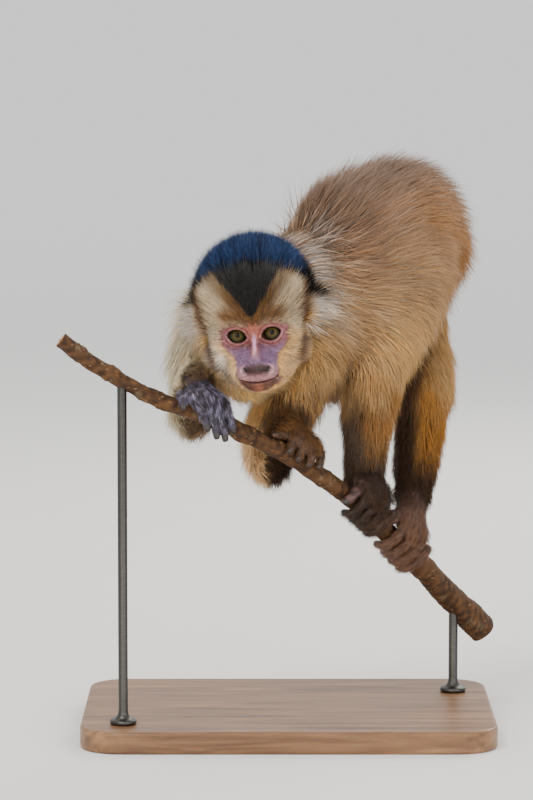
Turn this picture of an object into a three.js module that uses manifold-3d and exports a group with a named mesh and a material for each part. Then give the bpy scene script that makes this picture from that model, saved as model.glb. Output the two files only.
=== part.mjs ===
// A young tufted capuchin monkey, life size, crouched head-low on a short cut length of branch,
// which two rods carry above a flat base. Millimetres, +Z up. The origin is the centre of the
// base's underside, -Y is the side that the face looks to, and the branch falls towards +X.
// Every solid reaches out to the tips of the coat.

import * as THREE from 'three';
import { mergeVertices } from 'three/addons/utils/BufferGeometryUtils.js';
import Module from 'manifold-3d';

const wasm = await Module();
wasm.setup();

const v = (x, y, z) => new THREE.Vector3(x, y, z);
const degrees = THREE.MathUtils.degToRad;
const mix = THREE.MathUtils.lerp;

// ---- driving dimensions -----------------------------------------------------------------

const fit = 0.4; // gap between two solids that meet
const slack = 0.05; // how far a surface may move when its small facets are merged

const head = {
  eyes: v(-23.4, -85, 278.7), // midway between the two eyes, at the level of the corneas
  pitch: 24, // how far the face looks down
  roll: 6, // how far the crown leans to -X
  yaw: -1, // how far the face turns to +X
  eyeSpacing: 23,
  eyeRadius: 8.2,
  eyeDepth: 8.4, // eyeball centre behind the brow line
  eyeDrop: 4.4, // eyeball centre below the mark between the eyes
  ear: { x: 43, y: -43, z: -8, radii: [7, 9, 15] }, // in the head's own frame, x to either side
};

const perch = {
  path: [
    v(-151, -77, 274), v(-130, -75, 258), v(-111, -71, 246), v(-90, -67, 235), v(-56, -57, 221),
    v(-4.5, -37, 195), v(17, -27, 180), v(52, -5, 151), v(81, 18, 119), v(106, 40, 91),
    v(137, 65, 57),
  ],
  radii: [5.4, 5.2, 5.6, 6.3, 6.3, 6.4, 7.4, 8.6, 10.8],
};

const base = { length: 280, width: 200, thickness: 15, corner: 28, bevel: 2 };
const rod = { radius: 3.2, collarRadius: 9, collarHeight: 7, leftX: -111, rightX: 116 };

// ---- solids -----------------------------------------------------------------------------

function toSolid(geometry) {
  const bare = new THREE.BufferGeometry();
  bare.setAttribute('position', geometry.getAttribute('position'));
  bare.setIndex(geometry.getIndex());
  const merged = mergeVertices(bare, 1e-4);
  return new wasm.Manifold(new wasm.Mesh({
    numProp: 3,
    vertProperties: merged.getAttribute('position').array,
    triVerts: new Uint32Array(merged.getIndex().array),
  }));
}

function toGeometry(solid) {
  const mesh = solid.getMesh();
  const geometry = new THREE.BufferGeometry();
  geometry.setAttribute('position', new THREE.BufferAttribute(mesh.vertProperties, 3));
  geometry.setIndex(new THREE.BufferAttribute(mesh.triVerts, 1));
  geometry.computeVertexNormals();
  return geometry;
}

const union = (solids) => solids.reduce((a, b) => a.add(b));
const largestPiece = (solid) => solid.decompose().sort((a, b) => b.volume() - a.volume())[0];
const oneBody = (solid) => largestPiece(toSolid(toGeometry(largestPiece(solid))));

// A smooth function of t from 0 to 1 through evenly spaced values.
function profile(values) {
  return (t) => {
    const place = THREE.MathUtils.clamp(t, 0, 1) * (values.length - 1);
    const i = Math.min(Math.floor(place), values.length - 2);
    const s = place - i;
    return mix(values[i], values[i + 1], s * s * (3 - 2 * s) * 0.5 + s * 0.5);
  };
}

// A solid tube along a curve, with elliptic sections, built of one short length after another.
// An end that is the curve's own end is rounded; an end part way along it is cut flat.
function tube(curve, side, lift, options = {}) {
  const { sides = 12, steps = 12, from = 0, to = 1, grow = 0, up = v(0, 0, 1) } = options;
  const round = sides > 8 ? [-1, -0.88, -0.55] : [-1, -0.72];
  const ringAt = (t, push, slip = 0) => {
    const tangent = curve.getTangentAt(t);
    const across = new THREE.Vector3().crossVectors(tangent, up).normalize();
    const raise = new THREE.Vector3().crossVectors(across, tangent);
    const [a, b] = [side(t) + grow, lift(t) + grow];
    const swell = Math.sqrt(1 - push * push);
    const centre = curve.getPointAt(t).addScaledVector(tangent, push * Math.min(a, b) + slip);
    return Array.from({ length: swell ? sides : 1 }, (_, k) => {
      const angle = (k / sides) * 2 * Math.PI;
      return centre.clone()
        .addScaledVector(across, Math.cos(angle) * a * swell)
        .addScaledVector(raise, Math.sin(angle) * b * swell);
    });
  };
  const lengths = [];
  let last = from === 0 ? round.flatMap((push) => ringAt(0, push)) : [];
  for (let i = 0; i <= steps; i++) {
    const end = i === 0 && from > 0 ? -1 : i === steps && to < 1 ? 1 : 0;
    const ring = ringAt(mix(from, to, i / steps), 0, end * grow * 0.6);
    if (i > 0) lengths.push([...last, ...ring]);
    last = i > 0 ? ring : [...last, ...ring];
  }
  if (to === 1) lengths[steps - 1].push(...round.flatMap((push) => ringAt(1, -push)));
  return union(lengths.map((points) => wasm.Manifold.hull(points.map((p) => [p.x, p.y, p.z]))));
}

// Joins rings of points into a closed solid. A ring of one point is a pole, and an end ring
// that is not a pole is closed flat.
function closeRings(rings) {
  const sides = Math.max(...rings.map((ring) => ring.length));
  const positions = rings.flat().flatMap((p) => [p.x, p.y, p.z]);
  const index = [];
  let start = 0;
  const starts = rings.map((ring) => (start += ring.length) - ring.length);
  const at = (r, k) => starts[r] + (rings[r].length === 1 ? 0 : k % sides);
  for (let r = 0; r + 1 < rings.length; r++) {
    for (let k = 0; k < sides; k++) {
      if (rings[r].length > 1) index.push(at(r, k), at(r, k + 1), at(r + 1, k));
      if (rings[r + 1].length > 1) index.push(at(r, k + 1), at(r + 1, k + 1), at(r + 1, k));
    }
  }
  const last = rings.length - 1;
  for (let k = 1; k + 1 < sides; k++) {
    if (rings[0].length > 1) index.push(at(0, 0), at(0, k + 1), at(0, k));
    if (rings[last].length > 1) index.push(at(last, 0), at(last, k), at(last, k + 1));
  }
  const geometry = new THREE.BufferGeometry();
  geometry.setAttribute('position', new THREE.Float32BufferAttribute(positions, 3));
  geometry.setIndex(index);
  const solid = toSolid(geometry);
  if (solid.volume() > 0) return solid;
  for (let i = 0; i < index.length; i += 3) [index[i], index[i + 1]] = [index[i + 1], index[i]];
  geometry.setIndex(index);
  return toSolid(geometry);
}

// An ellipsoid with its half axes along the columns of a basis.
function ellipsoid(centre, radii, basis, grow = 0, across = 16, around = 10) {
  const geometry = new THREE.SphereGeometry(1, across, around);
  geometry.scale(radii[0] + grow, radii[1] + grow, radii[2] + grow);
  geometry.applyMatrix4(basis.clone().setPosition(centre));
  geometry.deleteAttribute('normal');
  geometry.deleteAttribute('uv');
  return toSolid(geometry);
}

const curveThrough = (points) => new THREE.CatmullRomCurve3(points, false, 'centripetal');

// ---- the head's own frame: x to its right, y forward out of the face, z up ----------------

const headBasis = new THREE.Matrix4()
  .makeRotationZ(Math.PI + degrees(head.yaw))
  .multiply(new THREE.Matrix4().makeRotationX(degrees(-head.pitch)))
  .multiply(new THREE.Matrix4().makeRotationY(degrees(head.roll)));
const inHead = (x, y, z) => v(x, y, z).applyMatrix4(headBasis).add(head.eyes);

const headLobes = [
  { at: [0, -38, 13], radii: [40, 46, 35] }, // cranium
  { at: [0, -21, 12], radii: [34, 25, 26] }, // forehead
  { at: [0, -18, -6], radii: [36, 19, 30] }, // face
  { at: [0, -31, -14], radii: [42, 22, 29] }, // cheek ruff
  { at: [0, -19, -37], radii: [27, 18, 20] }, // chin and throat fur
  { at: [0, 2, -23], radii: [15.5, 14, 13] }, // muzzle
  { at: [0, 11, -15.5], radii: [8, 7, 6.5] }, // nose
  { at: [0, 2, -4], radii: [5, 7.5, 14] }, // bridge
  { at: [0, 5.5, -30], radii: [13.5, 8.5, 7.5] }, // lips
];
const headMiddle = v(0, -27, -6);
const lobeBlend = 2.2;

// How far a point of the head's frame is outside the blended lobes; negative inside.
function headDistance(p) {
  let sum = 0;
  for (const { at, radii } of headLobes) {
    const q = [p.x - at[0], p.y - at[1], p.z - at[2]];
    const near = Math.hypot(q[0] / radii[0], q[1] / radii[1], q[2] / radii[2]);
    const slope = Math.hypot(q[0] / radii[0] ** 2, q[1] / radii[1] ** 2, q[2] / radii[2] ** 2);
    sum += Math.exp((-near * (near - 1)) / (slope * lobeBlend));
  }
  return -lobeBlend * Math.log(sum);
}

// The head is sampled along rays from its middle, in rings round the line of the face,
// which lie closest together over the muzzle and the eyes.
function headSolid(grow) {
  const sides = 24;
  const turns = [0, 5, 9, 13, 17, 21.5, 26, 31, 37, 44, 53, 64, 77, 91, 106, 123, 142, 162, 180];
  const pointAt = (turn, around) => {
    const [a, b] = [degrees(turn), (around / sides) * 2 * Math.PI];
    const ray = v(Math.sin(a) * Math.cos(b), Math.cos(a), Math.sin(a) * Math.sin(b));
    ray.applyAxisAngle(v(1, 0, 0), degrees(-15 * Math.cos(a / 2) ** 2));
    let [inside, outside] = [0, 95];
    for (let reach = outside; reach > 0; reach -= 1.5) {
      if (headDistance(headMiddle.clone().addScaledVector(ray, reach)) < grow) {
        [inside, outside] = [reach, reach + 1.5];
        break;
      }
    }
    for (let k = 0; k < 8; k++) {
      const reach = (inside + outside) / 2;
      if (headDistance(headMiddle.clone().addScaledVector(ray, reach)) < grow) inside = reach;
      else outside = reach;
    }
    const p = headMiddle.clone().addScaledVector(ray, inside);
    return inHead(p.x, p.y, p.z);
  };
  return closeRings(turns.map((turn, k) => {
    const pole = k === 0 || k === turns.length - 1;
    return Array.from({ length: pole ? 1 : sides }, (_, around) => pointAt(turn, around));
  }));
}

const sideOf = { left: -1, right: 1 }; // along the head's own x

function eyeCentre(side) {
  return inHead((side * head.eyeSpacing) / 2, -head.eyeDepth, -head.eyeDrop);
}

function eyeSolid(side, grow) {
  const radius = head.eyeRadius + grow;
  return ellipsoid(eyeCentre(side), [radius, radius, radius], headBasis, 0, 10, 8);
}

function eyeOpening(side) {
  return ellipsoid(inHead((side * head.eyeSpacing) / 2, 5, -1), [8, 9.5, 6], headBasis, 0, 10, 7);
}

function earSolid(side, grow) {
  const { x, y, z, radii } = head.ear;
  return ellipsoid(inHead(side * x, y, z), radii, headBasis, grow, 12, 7);
}

// ---- trunk, limbs and tail ----------------------------------------------------------------

const spine = curveThrough([
  v(-26, -34, 300), v(-9, -12, 293), v(10, 8, 287), v(36, 30, 298),
  v(64, 56, 323), v(84, 76, 330), v(97, 89, 322),
]);
const trunkWidth = profile([33, 38, 46, 50, 50, 47, 36]);
const trunkHeight = profile([34, 44, 59, 64, 67, 60, 40]);
const trunkParts = [['neck', 0, 0.17], ['chest', 0.17, 0.47], ['belly', 0.47, 0.72], ['rump', 0.72, 1]];

const limbs = {
  arm_left: {
    path: [
      v(10, -14, 262), v(2, -4, 232), v(-13, 18, 188), v(-14, 12, 178), v(-6, -14, 196), v(-2, -29, 209),
    ],
    radii: [30, 27, 22, 20, 17, 14, 11],
    parts: [['upper_arm_left', 0, 0.56], ['forearm_left', 0.56, 1]],
  },
  arm_right: {
    path: [
      v(-46, -6, 272), v(-58, 2, 250), v(-67, 20, 217), v(-69, 12, 211), v(-66, -22, 229), v(-62, -39, 245),
    ],
    radii: [28, 26, 21, 18, 17, 15, 12],
    parts: [['upper_arm_right', 0, 0.52], ['forearm_right', 0.52, 1]],
  },
  leg_left: {
    path: [
      v(84, 46, 304), v(74, 18, 278), v(57, -8, 248), v(55, -6, 224), v(53, 5, 190), v(52, 12, 166),
    ],
    radii: [42, 38, 32, 24, 20, 17, 14],
    parts: [['thigh_left', 0, 0.54], ['shank_left', 0.54, 1]],
  },
  leg_right: {
    path: [
      v(76, 88, 304), v(86, 76, 270), v(94, 62, 238), v(94, 56, 214), v(92, 47, 180), v(87, 40, 156),
    ],
    radii: [38, 36, 31, 25, 20, 17, 14],
    parts: [['thigh_right', 0, 0.5], ['shank_right', 0.5, 1]],
  },
};

const tail = {
  path: curveThrough([
    v(92, 96, 330), v(98, 118, 338), v(100, 146, 324), v(98, 160, 286), v(94, 162, 240),
    v(90, 152, 198), v(86, 134, 170), v(86, 112, 162), v(90, 98, 176), v(94, 102, 192),
  ]),
  radius: profile([19, 16, 14.5, 13.5, 12.5, 11.5, 10.5, 8]),
  parts: [['tail_base', 0, 0.3], ['tail_middle', 0.3, 0.58], ['tail_end', 0.58, 0.8], ['tail_tip', 0.8, 1]],
};

// ---- the branch, and the digits that close round it ----------------------------------------

const perchCurve = curveThrough(perch.path);
const perchRadius = profile(perch.radii);

// The branch's section at a given x: centre, radius, and the directions along, over and in front.
function perchSection(x) {
  let [low, high] = [0, 1];
  for (let i = 0; i < 30; i++) {
    const middle = (low + high) / 2;
    if (perchCurve.getPointAt(middle).x < x) low = middle;
    else high = middle;
  }
  const along = perchCurve.getTangentAt(low);
  const front = new THREE.Vector3().crossVectors(along, v(0, 0, 1)).normalize();
  const over = new THREE.Vector3().crossVectors(front, along);
  return { centre: perchCurve.getPointAt(low), radius: perchRadius(low), along, over, front };
}

// A point at an angle round the branch, from 0 on top to 90 in front, at a height above its bark.
function roundPerch(x, angle, height) {
  const { centre, radius, over, front } = perchSection(x);
  const reach = radius + height;
  return centre.clone()
    .addScaledVector(over, Math.cos(degrees(angle)) * reach)
    .addScaledVector(front, Math.sin(degrees(angle)) * reach);
}

// One digit: it slides along the branch while it turns round it, and may hang on past its underside.
function digit({ x, slide, from, to, thickness, lift = 2, hang = 0 }, grow) {
  const points = [];
  for (let k = 0; k <= 4; k++) {
    const s = k / 4;
    const height = thickness + fit + lift * (1 - s) * (1 - s);
    points.push(roundPerch(x + slide * s, mix(from, to, s), height));
  }
  if (hang) points.push(points[4].clone().add(v(hang * 0.2, 0, -hang)));
  const radius = profile([thickness * 1.1, thickness * 1.15, thickness, thickness * 0.8]);
  const options = { sides: 6, steps: 4, from: 0.02, grow, up: perchSection(x).along };
  return tube(curveThrough(points), radius, radius, options);
}

function palm({ x, angle, height, radii }, grow) {
  const { along, over, front } = perchSection(x);
  const turned = new THREE.Matrix4().makeRotationAxis(along, degrees(angle));
  const basis = turned.multiply(new THREE.Matrix4().makeBasis(along, front, over));
  return ellipsoid(roundPerch(x, angle, height), radii, basis, grow, 12, 7);
}

const fingerShape = { lift: 3, thickness: 3.1 };
const toeShape = { lift: 3, thickness: 3.5 };
const grips = {
  hand_right: {
    palm: { x: -62, angle: 32, height: 7, radii: [19, 12.5, 8.5] },
    wrist: v(-62, -41, 243),
    wristRadius: 10,
    digits: [
      { ...fingerShape, x: -78, slide: 5, from: 35, to: 85, lift: 1 },
      { ...fingerShape, x: -70.5, slide: 12, from: 35, to: 118, hang: 7 },
      { ...fingerShape, x: -62.5, slide: 9, from: 35, to: 115, hang: 10 },
      { ...fingerShape, x: -55, slide: 7, from: 35, to: 112, hang: 9 },
      { ...fingerShape, x: -48, slide: 5, from: 30, to: 108 },
    ],
  },
  hand_left: {
    palm: { x: 5, angle: 6, height: 7, radii: [15, 12, 8] },
    wrist: v(-2, -28, 209),
    wristRadius: 9,
    digits: [
      { ...fingerShape, x: -5, slide: -1, from: 10, to: 84 },
      { ...fingerShape, x: 2, slide: 0, from: 10, to: 92 },
      { ...fingerShape, x: 9, slide: 0, from: 10, to: 88 },
      { ...fingerShape, x: 16, slide: 0, from: 10, to: 76 },
      { ...fingerShape, x: -6, slide: -13, from: 5, to: 35, lift: 1 },
    ],
  },
  foot_left: {
    palm: { x: 49, angle: 15, height: 8.5, radii: [14, 17, 9.5] },
    wrist: v(52, 11, 167),
    wristRadius: 12,
    digits: [
      { ...toeShape, x: 44, slide: -1, from: 40, to: 180 },
      { ...toeShape, x: 49, slide: -1, from: 40, to: 192 },
      { ...toeShape, x: 54, slide: -1, from: 40, to: 192 },
      { ...toeShape, x: 59, slide: -1, from: 40, to: 180 },
      { ...toeShape, x: 43, slide: -9, from: 10, to: 150, thickness: 4 },
    ],
  },
  foot_right: {
    palm: { x: 71, angle: 14, height: 8.5, radii: [14, 17, 9.5] },
    wrist: v(86, 38, 155),
    wristRadius: 12,
    digits: [
      { ...toeShape, x: 65, slide: -2, from: 40, to: 180 },
      { ...toeShape, x: 69.5, slide: -2, from: 40, to: 192 },
      { ...toeShape, x: 74, slide: -2, from: 40, to: 192 },
      { ...toeShape, x: 78.5, slide: -2, from: 40, to: 180 },
      { ...toeShape, x: 62.5, slide: -2, from: -5, to: 115, thickness: 4 },
    ],
  },
};

// A hand or foot: the back of it drawn out to the wrist or heel, with its digits.
function gripSolid({ palm: back, wrist, wristRadius, digits }, grow) {
  const cuff = new THREE.Matrix4().makeBasis(v(1, 0, 0), v(0, 1, 0), v(0, 0, 1));
  const radius = wristRadius + grow;
  const heel = ellipsoid(wrist, [radius, radius, radius], cuff, 0, 8, 5);
  const hull = wasm.Manifold.hull([palm(back, grow), heel]);
  return union([hull, ...digits.map((one) => digit(one, grow))]);
}

// ---- the display stand ---------------------------------------------------------------------

function baseSolid() {
  const { length, width, thickness, corner, bevel } = base;
  const [x, y] = [length / 2 - bevel, width / 2 - bevel];
  const shape = new THREE.Shape();
  shape.moveTo(-x + corner, -y).lineTo(x - corner, -y);
  shape.absarc(x - corner, -y + corner, corner, -Math.PI / 2, 0).lineTo(x, y - corner);
  shape.absarc(x - corner, y - corner, corner, 0, Math.PI / 2).lineTo(-x + corner, y);
  shape.absarc(-x + corner, y - corner, corner, Math.PI / 2, Math.PI).lineTo(-x, -y + corner);
  shape.absarc(-x + corner, -y + corner, corner, Math.PI, Math.PI * 1.5);
  const geometry = new THREE.ExtrudeGeometry(shape, {
    depth: thickness - 2 * bevel,
    bevelThickness: bevel,
    bevelSize: bevel,
    bevelSegments: 1,
    curveSegments: 4,
  });
  geometry.translate(0, 0, bevel);
  geometry.deleteAttribute('normal');
  geometry.deleteAttribute('uv');
  return toSolid(geometry);
}

// A rod with a turned collar at its foot, from the base up into a saddle under the branch.
function rodSolid(x, grow) {
  const { centre } = perchSection(x);
  const height = centre.z - base.thickness;
  const foot = rod.collarHeight;
  const outline = [
    [0, fit], [rod.collarRadius + grow, fit], [rod.collarRadius + grow, foot * 0.45],
    [rod.radius + 1.2 + grow, foot], [rod.radius + grow, foot + 2], [rod.radius + grow, height],
    [0, height],
  ];
  const geometry = new THREE.LatheGeometry(outline.map(([r, h]) => new THREE.Vector2(r, h)), 14);
  geometry.rotateX(Math.PI / 2);
  geometry.translate(centre.x, centre.y, base.thickness);
  geometry.deleteAttribute('normal');
  geometry.deleteAttribute('uv');
  return toSolid(geometry);
}

// ---- assembly ------------------------------------------------------------------------------

const coat = (color) => new THREE.MeshStandardMaterial({ color, roughness: 0.9, metalness: 0 });
const finishes = {
  cap: coat(0x2a2019),
  fawn: coat(0xb98f5c),
  brown: coat(0x8a6a48),
  dark: coat(0x3a2b22),
  tail: coat(0x4a3626),
  ear: coat(0xa97a72),
  eye: new THREE.MeshStandardMaterial({ color: 0x3a2a12, roughness: 0.08, metalness: 0 }),
  bark: new THREE.MeshStandardMaterial({ color: 0x5c3d2a, roughness: 0.85, metalness: 0 }),
  wood: new THREE.MeshStandardMaterial({ color: 0x8d6b48, roughness: 0.5, metalness: 0 }),
  metal: new THREE.MeshStandardMaterial({ color: 0x3b3a39, roughness: 0.35, metalness: 1 }),
};

const monkeyOnStand = new THREE.Group();
const taken = []; // what later solids are cut by, each grown by the fit

// Adds a node: the solid, cut back to stay clear of everything placed before it.
function place(name, finish, build) {
  const cut = taken.reduce((solid, other) => solid.subtract(other), build(0));
  const mesh = new THREE.Mesh(toGeometry(oneBody(cut.simplify(slack))), finish);
  mesh.name = name;
  monkeyOnStand.add(mesh);
  taken.push(build(fit));
}

// Adds the lengths of one tube, each an open cut away from the next.
function placeLengths(parts, curve, finishOf, build) {
  const gap = fit / curve.getLength();
  parts.forEach(([name, from, to]) => {
    const end = to === 1 ? 1 : to - gap;
    place(name, finishOf(name), (grow) => build(from, end, grow));
  });
}

place('perch', finishes.bark, (grow) =>
  tube(perchCurve, perchRadius, perchRadius, { sides: 10, steps: 20, from: 1e-4, to: 1 - 1e-4, grow }));
for (const [name, side] of Object.entries(sideOf)) {
  place(`eye_${name}`, finishes.eye, (grow) => eyeSolid(side, grow));
}
place('head', finishes.cap, (grow) =>
  headSolid(grow).subtract(eyeOpening(sideOf.left)).subtract(eyeOpening(sideOf.right)));

placeLengths(trunkParts, spine, (name) => (name === 'neck' ? finishes.fawn : finishes.brown),
  (from, to, grow) => tube(spine, trunkWidth, trunkHeight, { sides: 16, steps: 4, from, to, grow }));

for (const [name, side] of Object.entries(sideOf)) {
  place(`ear_${name}`, finishes.ear, (grow) => earSolid(side, grow));
}

const limbRings = { sides: 10, steps: 5, up: v(1, 0, 0) };
for (const { path, radii, parts } of Object.values(limbs)) {
  const curve = curveThrough(path);
  const radius = profile(radii);
  placeLengths(parts, curve, (name) => (/upper_arm|thigh/.test(name) ? finishes.fawn : finishes.dark),
    (from, to, grow) => tube(curve, radius, radius, { ...limbRings, from, to, grow }));
}

for (const [name, grip] of Object.entries(grips)) {
  place(name, finishes.dark, (grow) => gripSolid(grip, grow));
}

const tailRings = { ...limbRings, sides: 9 };
placeLengths(tail.parts, tail.path, () => finishes.tail,
  (from, to, grow) => tube(tail.path, tail.radius, tail.radius, { ...tailRings, from, to, grow }));

place('stand_rod_left', finishes.metal, (grow) => rodSolid(rod.leftX, grow));
place('stand_rod_right', finishes.metal, (grow) => rodSolid(rod.rightX, grow));
place('stand_base', finishes.wood, baseSolid);

export default monkeyOnStand;
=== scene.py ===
import bmesh
import bpy
import numpy as np
from mathutils import Matrix


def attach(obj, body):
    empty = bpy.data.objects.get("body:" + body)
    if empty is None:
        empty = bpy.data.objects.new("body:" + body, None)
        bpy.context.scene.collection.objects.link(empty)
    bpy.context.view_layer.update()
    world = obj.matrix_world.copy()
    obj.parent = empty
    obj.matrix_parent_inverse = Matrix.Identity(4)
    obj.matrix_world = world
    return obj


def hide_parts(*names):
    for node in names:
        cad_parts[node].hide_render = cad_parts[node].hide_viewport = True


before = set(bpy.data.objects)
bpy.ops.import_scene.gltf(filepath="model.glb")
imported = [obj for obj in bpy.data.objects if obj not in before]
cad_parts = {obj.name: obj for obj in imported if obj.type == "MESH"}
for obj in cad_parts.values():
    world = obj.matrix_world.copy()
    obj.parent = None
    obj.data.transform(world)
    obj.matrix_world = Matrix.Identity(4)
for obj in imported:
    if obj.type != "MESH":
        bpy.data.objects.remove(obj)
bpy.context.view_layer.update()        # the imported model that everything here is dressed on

toMetres = 0.001  # shapes are worked out in millimetres, in the model's own axes

cameraSettings = {"aim": (-15, -85, 235), "distance": 2400, "elevation": 6, "lens": 163.6, "near": 0.05}


def makeCamera(s):
    tilt = np.radians(s["elevation"])
    place = np.array(s["aim"]) + s["distance"] * np.array([0, -np.cos(tilt), np.sin(tilt)])
    data = bpy.data.cameras.new("camera")
    data.lens = s["lens"]
    data.clip_start = s["near"]
    camera = bpy.data.objects.new("camera", data)
    camera.location = place * toMetres
    camera.rotation_euler = (np.radians(90) - tilt, 0, 0)
    bpy.context.collection.objects.link(camera)
    bpy.context.scene.camera = camera
    return place


cameraPlace = makeCamera(cameraSettings)
print("camera placed")


def unit(v):
    return v / np.maximum(np.linalg.norm(v, axis=-1, keepdims=True), 1e-9)


def dot(a, b):
    return (a * b).sum(-1)


def ramp(x, low, high):  # 0 below low, 1 above high, smooth between; low may be the larger
    t = np.clip((x - low) / (high - low), 0, 1)
    return t * t * (3 - 2 * t)


def bump(x, centre, width):
    return np.exp(-((x - centre) / width) ** 2)


def smoothMin(a, b, k):
    h = np.maximum(k - np.abs(a - b), 0) / k
    return np.minimum(a, b) - h * h * k / 4


def smoothMax(a, b, k):
    return -smoothMin(-a, -b, k)


waveCount = 5  # plain waves that are added up for each random value


def wave(p, size, seed):  # a smooth random value from about -1 to 1 at each point
    rng = np.random.default_rng(seed)
    total = 0
    for _ in range(waveCount):
        way = unit(rng.normal(size=3)) * 2 * np.pi / (size * rng.uniform(0.6, 1.5))
        total = total + np.sin(p @ way + rng.uniform(0, 6.28))
    return total / 2.4


def shade(*rgb):  # a colour as it looks on a screen, made linear
    c = np.array(rgb, float) / 255
    return np.where(c <= 0.04045, c / 12.92, ((c + 0.055) / 1.055) ** 2.4)


def shades(tones):
    return {name: shade(*tone) for name, tone in tones.items()}


def mixColour(base, other, amount):
    amount = np.asarray(amount, float)
    return base + (other - base) * amount.reshape(amount.shape + (1,) * (base.ndim - amount.ndim))


def painted(palette, base, coats):  # named colours laid over each other, each as strongly as its mask says
    colour = np.repeat(palette[base][None], len(coats[0][1]), 0)
    for name, mask in coats:
        colour = mixColour(colour, palette[name], mask)
    return colour


def profile(values):  # a smooth run through evenly spaced values, for t from 0 to 1
    values = np.array(values, float)

    def at(t):
        place = np.clip(t, 0, 1) * (len(values) - 1)
        i = np.minimum(place.astype(int), len(values) - 2)
        s = place - i
        return values[i] + (values[i + 1] - values[i]) * (s * s * (3 - 2 * s) * 0.5 + s * 0.5)
    return at


def curveThrough(points, spacing):  # evenly spaced points on a centripetal spline
    p = np.array(points, float)
    p = np.vstack([2 * p[0] - p[1], p, 2 * p[-1] - p[-2]])
    rows = []
    t = np.linspace(0, 1, 60, endpoint=False)[:, None]
    for a, b, c, d in zip(p, p[1:], p[2:], p[3:]):
        u, v, w = (max(np.linalg.norm(n - m), 1e-6) ** 0.5 for m, n in ((a, b), (b, c), (c, d)))
        out = ((b - a) / u - (c - a) / (u + v) + (c - b) / v) * v
        back = ((c - b) / v - (d - b) / (v + w) + (d - c) / w) * v
        rows.append(b + out * t + (3 * (c - b) - 2 * out - back) * t**2 + (2 * (b - c) + out + back) * t**3)
    dense = np.vstack(rows + [p[-2:-1]])
    run = np.concatenate([[0], np.cumsum(np.linalg.norm(np.diff(dense, axis=0), axis=1))])
    at = np.linspace(0, run[-1], max(int(run[-1] / spacing), 4) + 1)
    return np.column_stack([np.interp(at, run, dense[:, k]) for k in range(3)])


# A chain is a curve with an elliptic section: outer radii to the tips of the coat, and the coat's depth.
def makeChain(points, wide, tall=None, coat=(0, 0), up=(0, 0, 1), spacing=3.0):
    line = curveThrough(points, spacing)
    along = unit(np.gradient(line, axis=0))
    across = unit(np.cross(along, up))
    s = np.linspace(0, 1, len(line))
    depth = profile(coat)(s)
    chain = {"line": line, "along": along, "across": across, "over": np.cross(across, along), "s": s}
    chain |= {"coat": depth, "wide": profile(wide)(s) - depth, "tall": profile(tall or wide)(s) - depth}
    chain["step"] = np.linalg.norm(line[1] - line[0])
    reach = max(int(12 / chain["step"]), 1)  # the coat turns more gently than the bone under it
    padded = np.pad(along, ((reach, reach), (0, 0)), "edge")
    chain["lie"] = unit(sum(padded[k:k + len(line)] for k in range(2 * reach + 1)))
    return chain


def nearest(line, p):
    found = np.empty(len(p), int)
    middle = line.mean(0)
    spots = (line - middle).astype(np.float32)
    half = 0.5 * (spots**2).sum(1)
    for i in range(0, len(p), 50000):
        near = (p[i:i + 50000] - middle).astype(np.float32)
        found[i:i + 50000] = np.argmin(half - near @ spots.T, axis=1)
    return found


def onChain(chain, p):  # nearest place on a chain: index, fraction along it and offset from it
    i = nearest(chain["line"], p)
    q = p - chain["line"][i]
    h = dot(q, chain["along"][i])
    last = len(chain["line"]) - 1
    h = np.clip(h, np.where(i == 0, 0, -0.5) * chain["step"], np.where(i == last, 0, 0.5) * chain["step"])
    return i, np.clip((i + h / chain["step"]) / last, 0, 1), q - h[:, None] * chain["along"][i]


def chainDistance(chain, p):
    i, s, r = onChain(chain, p)
    wide = np.interp(s, chain["s"], chain["wide"])
    tall = np.interp(s, chain["s"], chain["tall"])
    x, y, z = dot(r, chain["across"][i]), dot(r, chain["over"][i]), dot(r, chain["along"][i])
    far = np.sqrt((x / wide) ** 2 + (y / tall) ** 2 + (z / np.minimum(wide, tall)) ** 2)
    length = np.linalg.norm(r, axis=1)
    return np.where(far > 0.05, length * (1 - 1 / np.maximum(far, 0.05)), -np.minimum(wide, tall))


def ovalDistance(q, at, radii):
    r = np.array(radii, float)
    n = np.maximum(np.linalg.norm((q - at) / r, axis=1), 1e-3)
    return n * (n - 1) / np.linalg.norm((q - at) / r**2, axis=1).clip(1e-6)


def barDistance(q, a, b, ra, rb):  # a tapered bar with round ends
    a, b = np.array(a, float), np.array(b, float)
    t = np.clip((q - a) @ (b - a) / dot(b - a, b - a), 0, 1)
    return np.linalg.norm(q - a - t[:, None] * (b - a), axis=1) - (ra + (rb - ra) * t)


# Each part's middle line, and its half widths and half depths out to the tips of its coat.
trunk = makeChain(
    [(-31, -38, 280), (-9, -13, 284), (10, 8, 283), (36, 30, 294), (64, 56, 323.5), (82, 74, 333),
     (94, 86, 324)],
    wide=[33, 38, 46, 50, 50, 46, 34], tall=[52, 55, 66, 70, 71.5, 61, 39], coat=[7, 9, 11, 11, 10, 10, 9])

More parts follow.
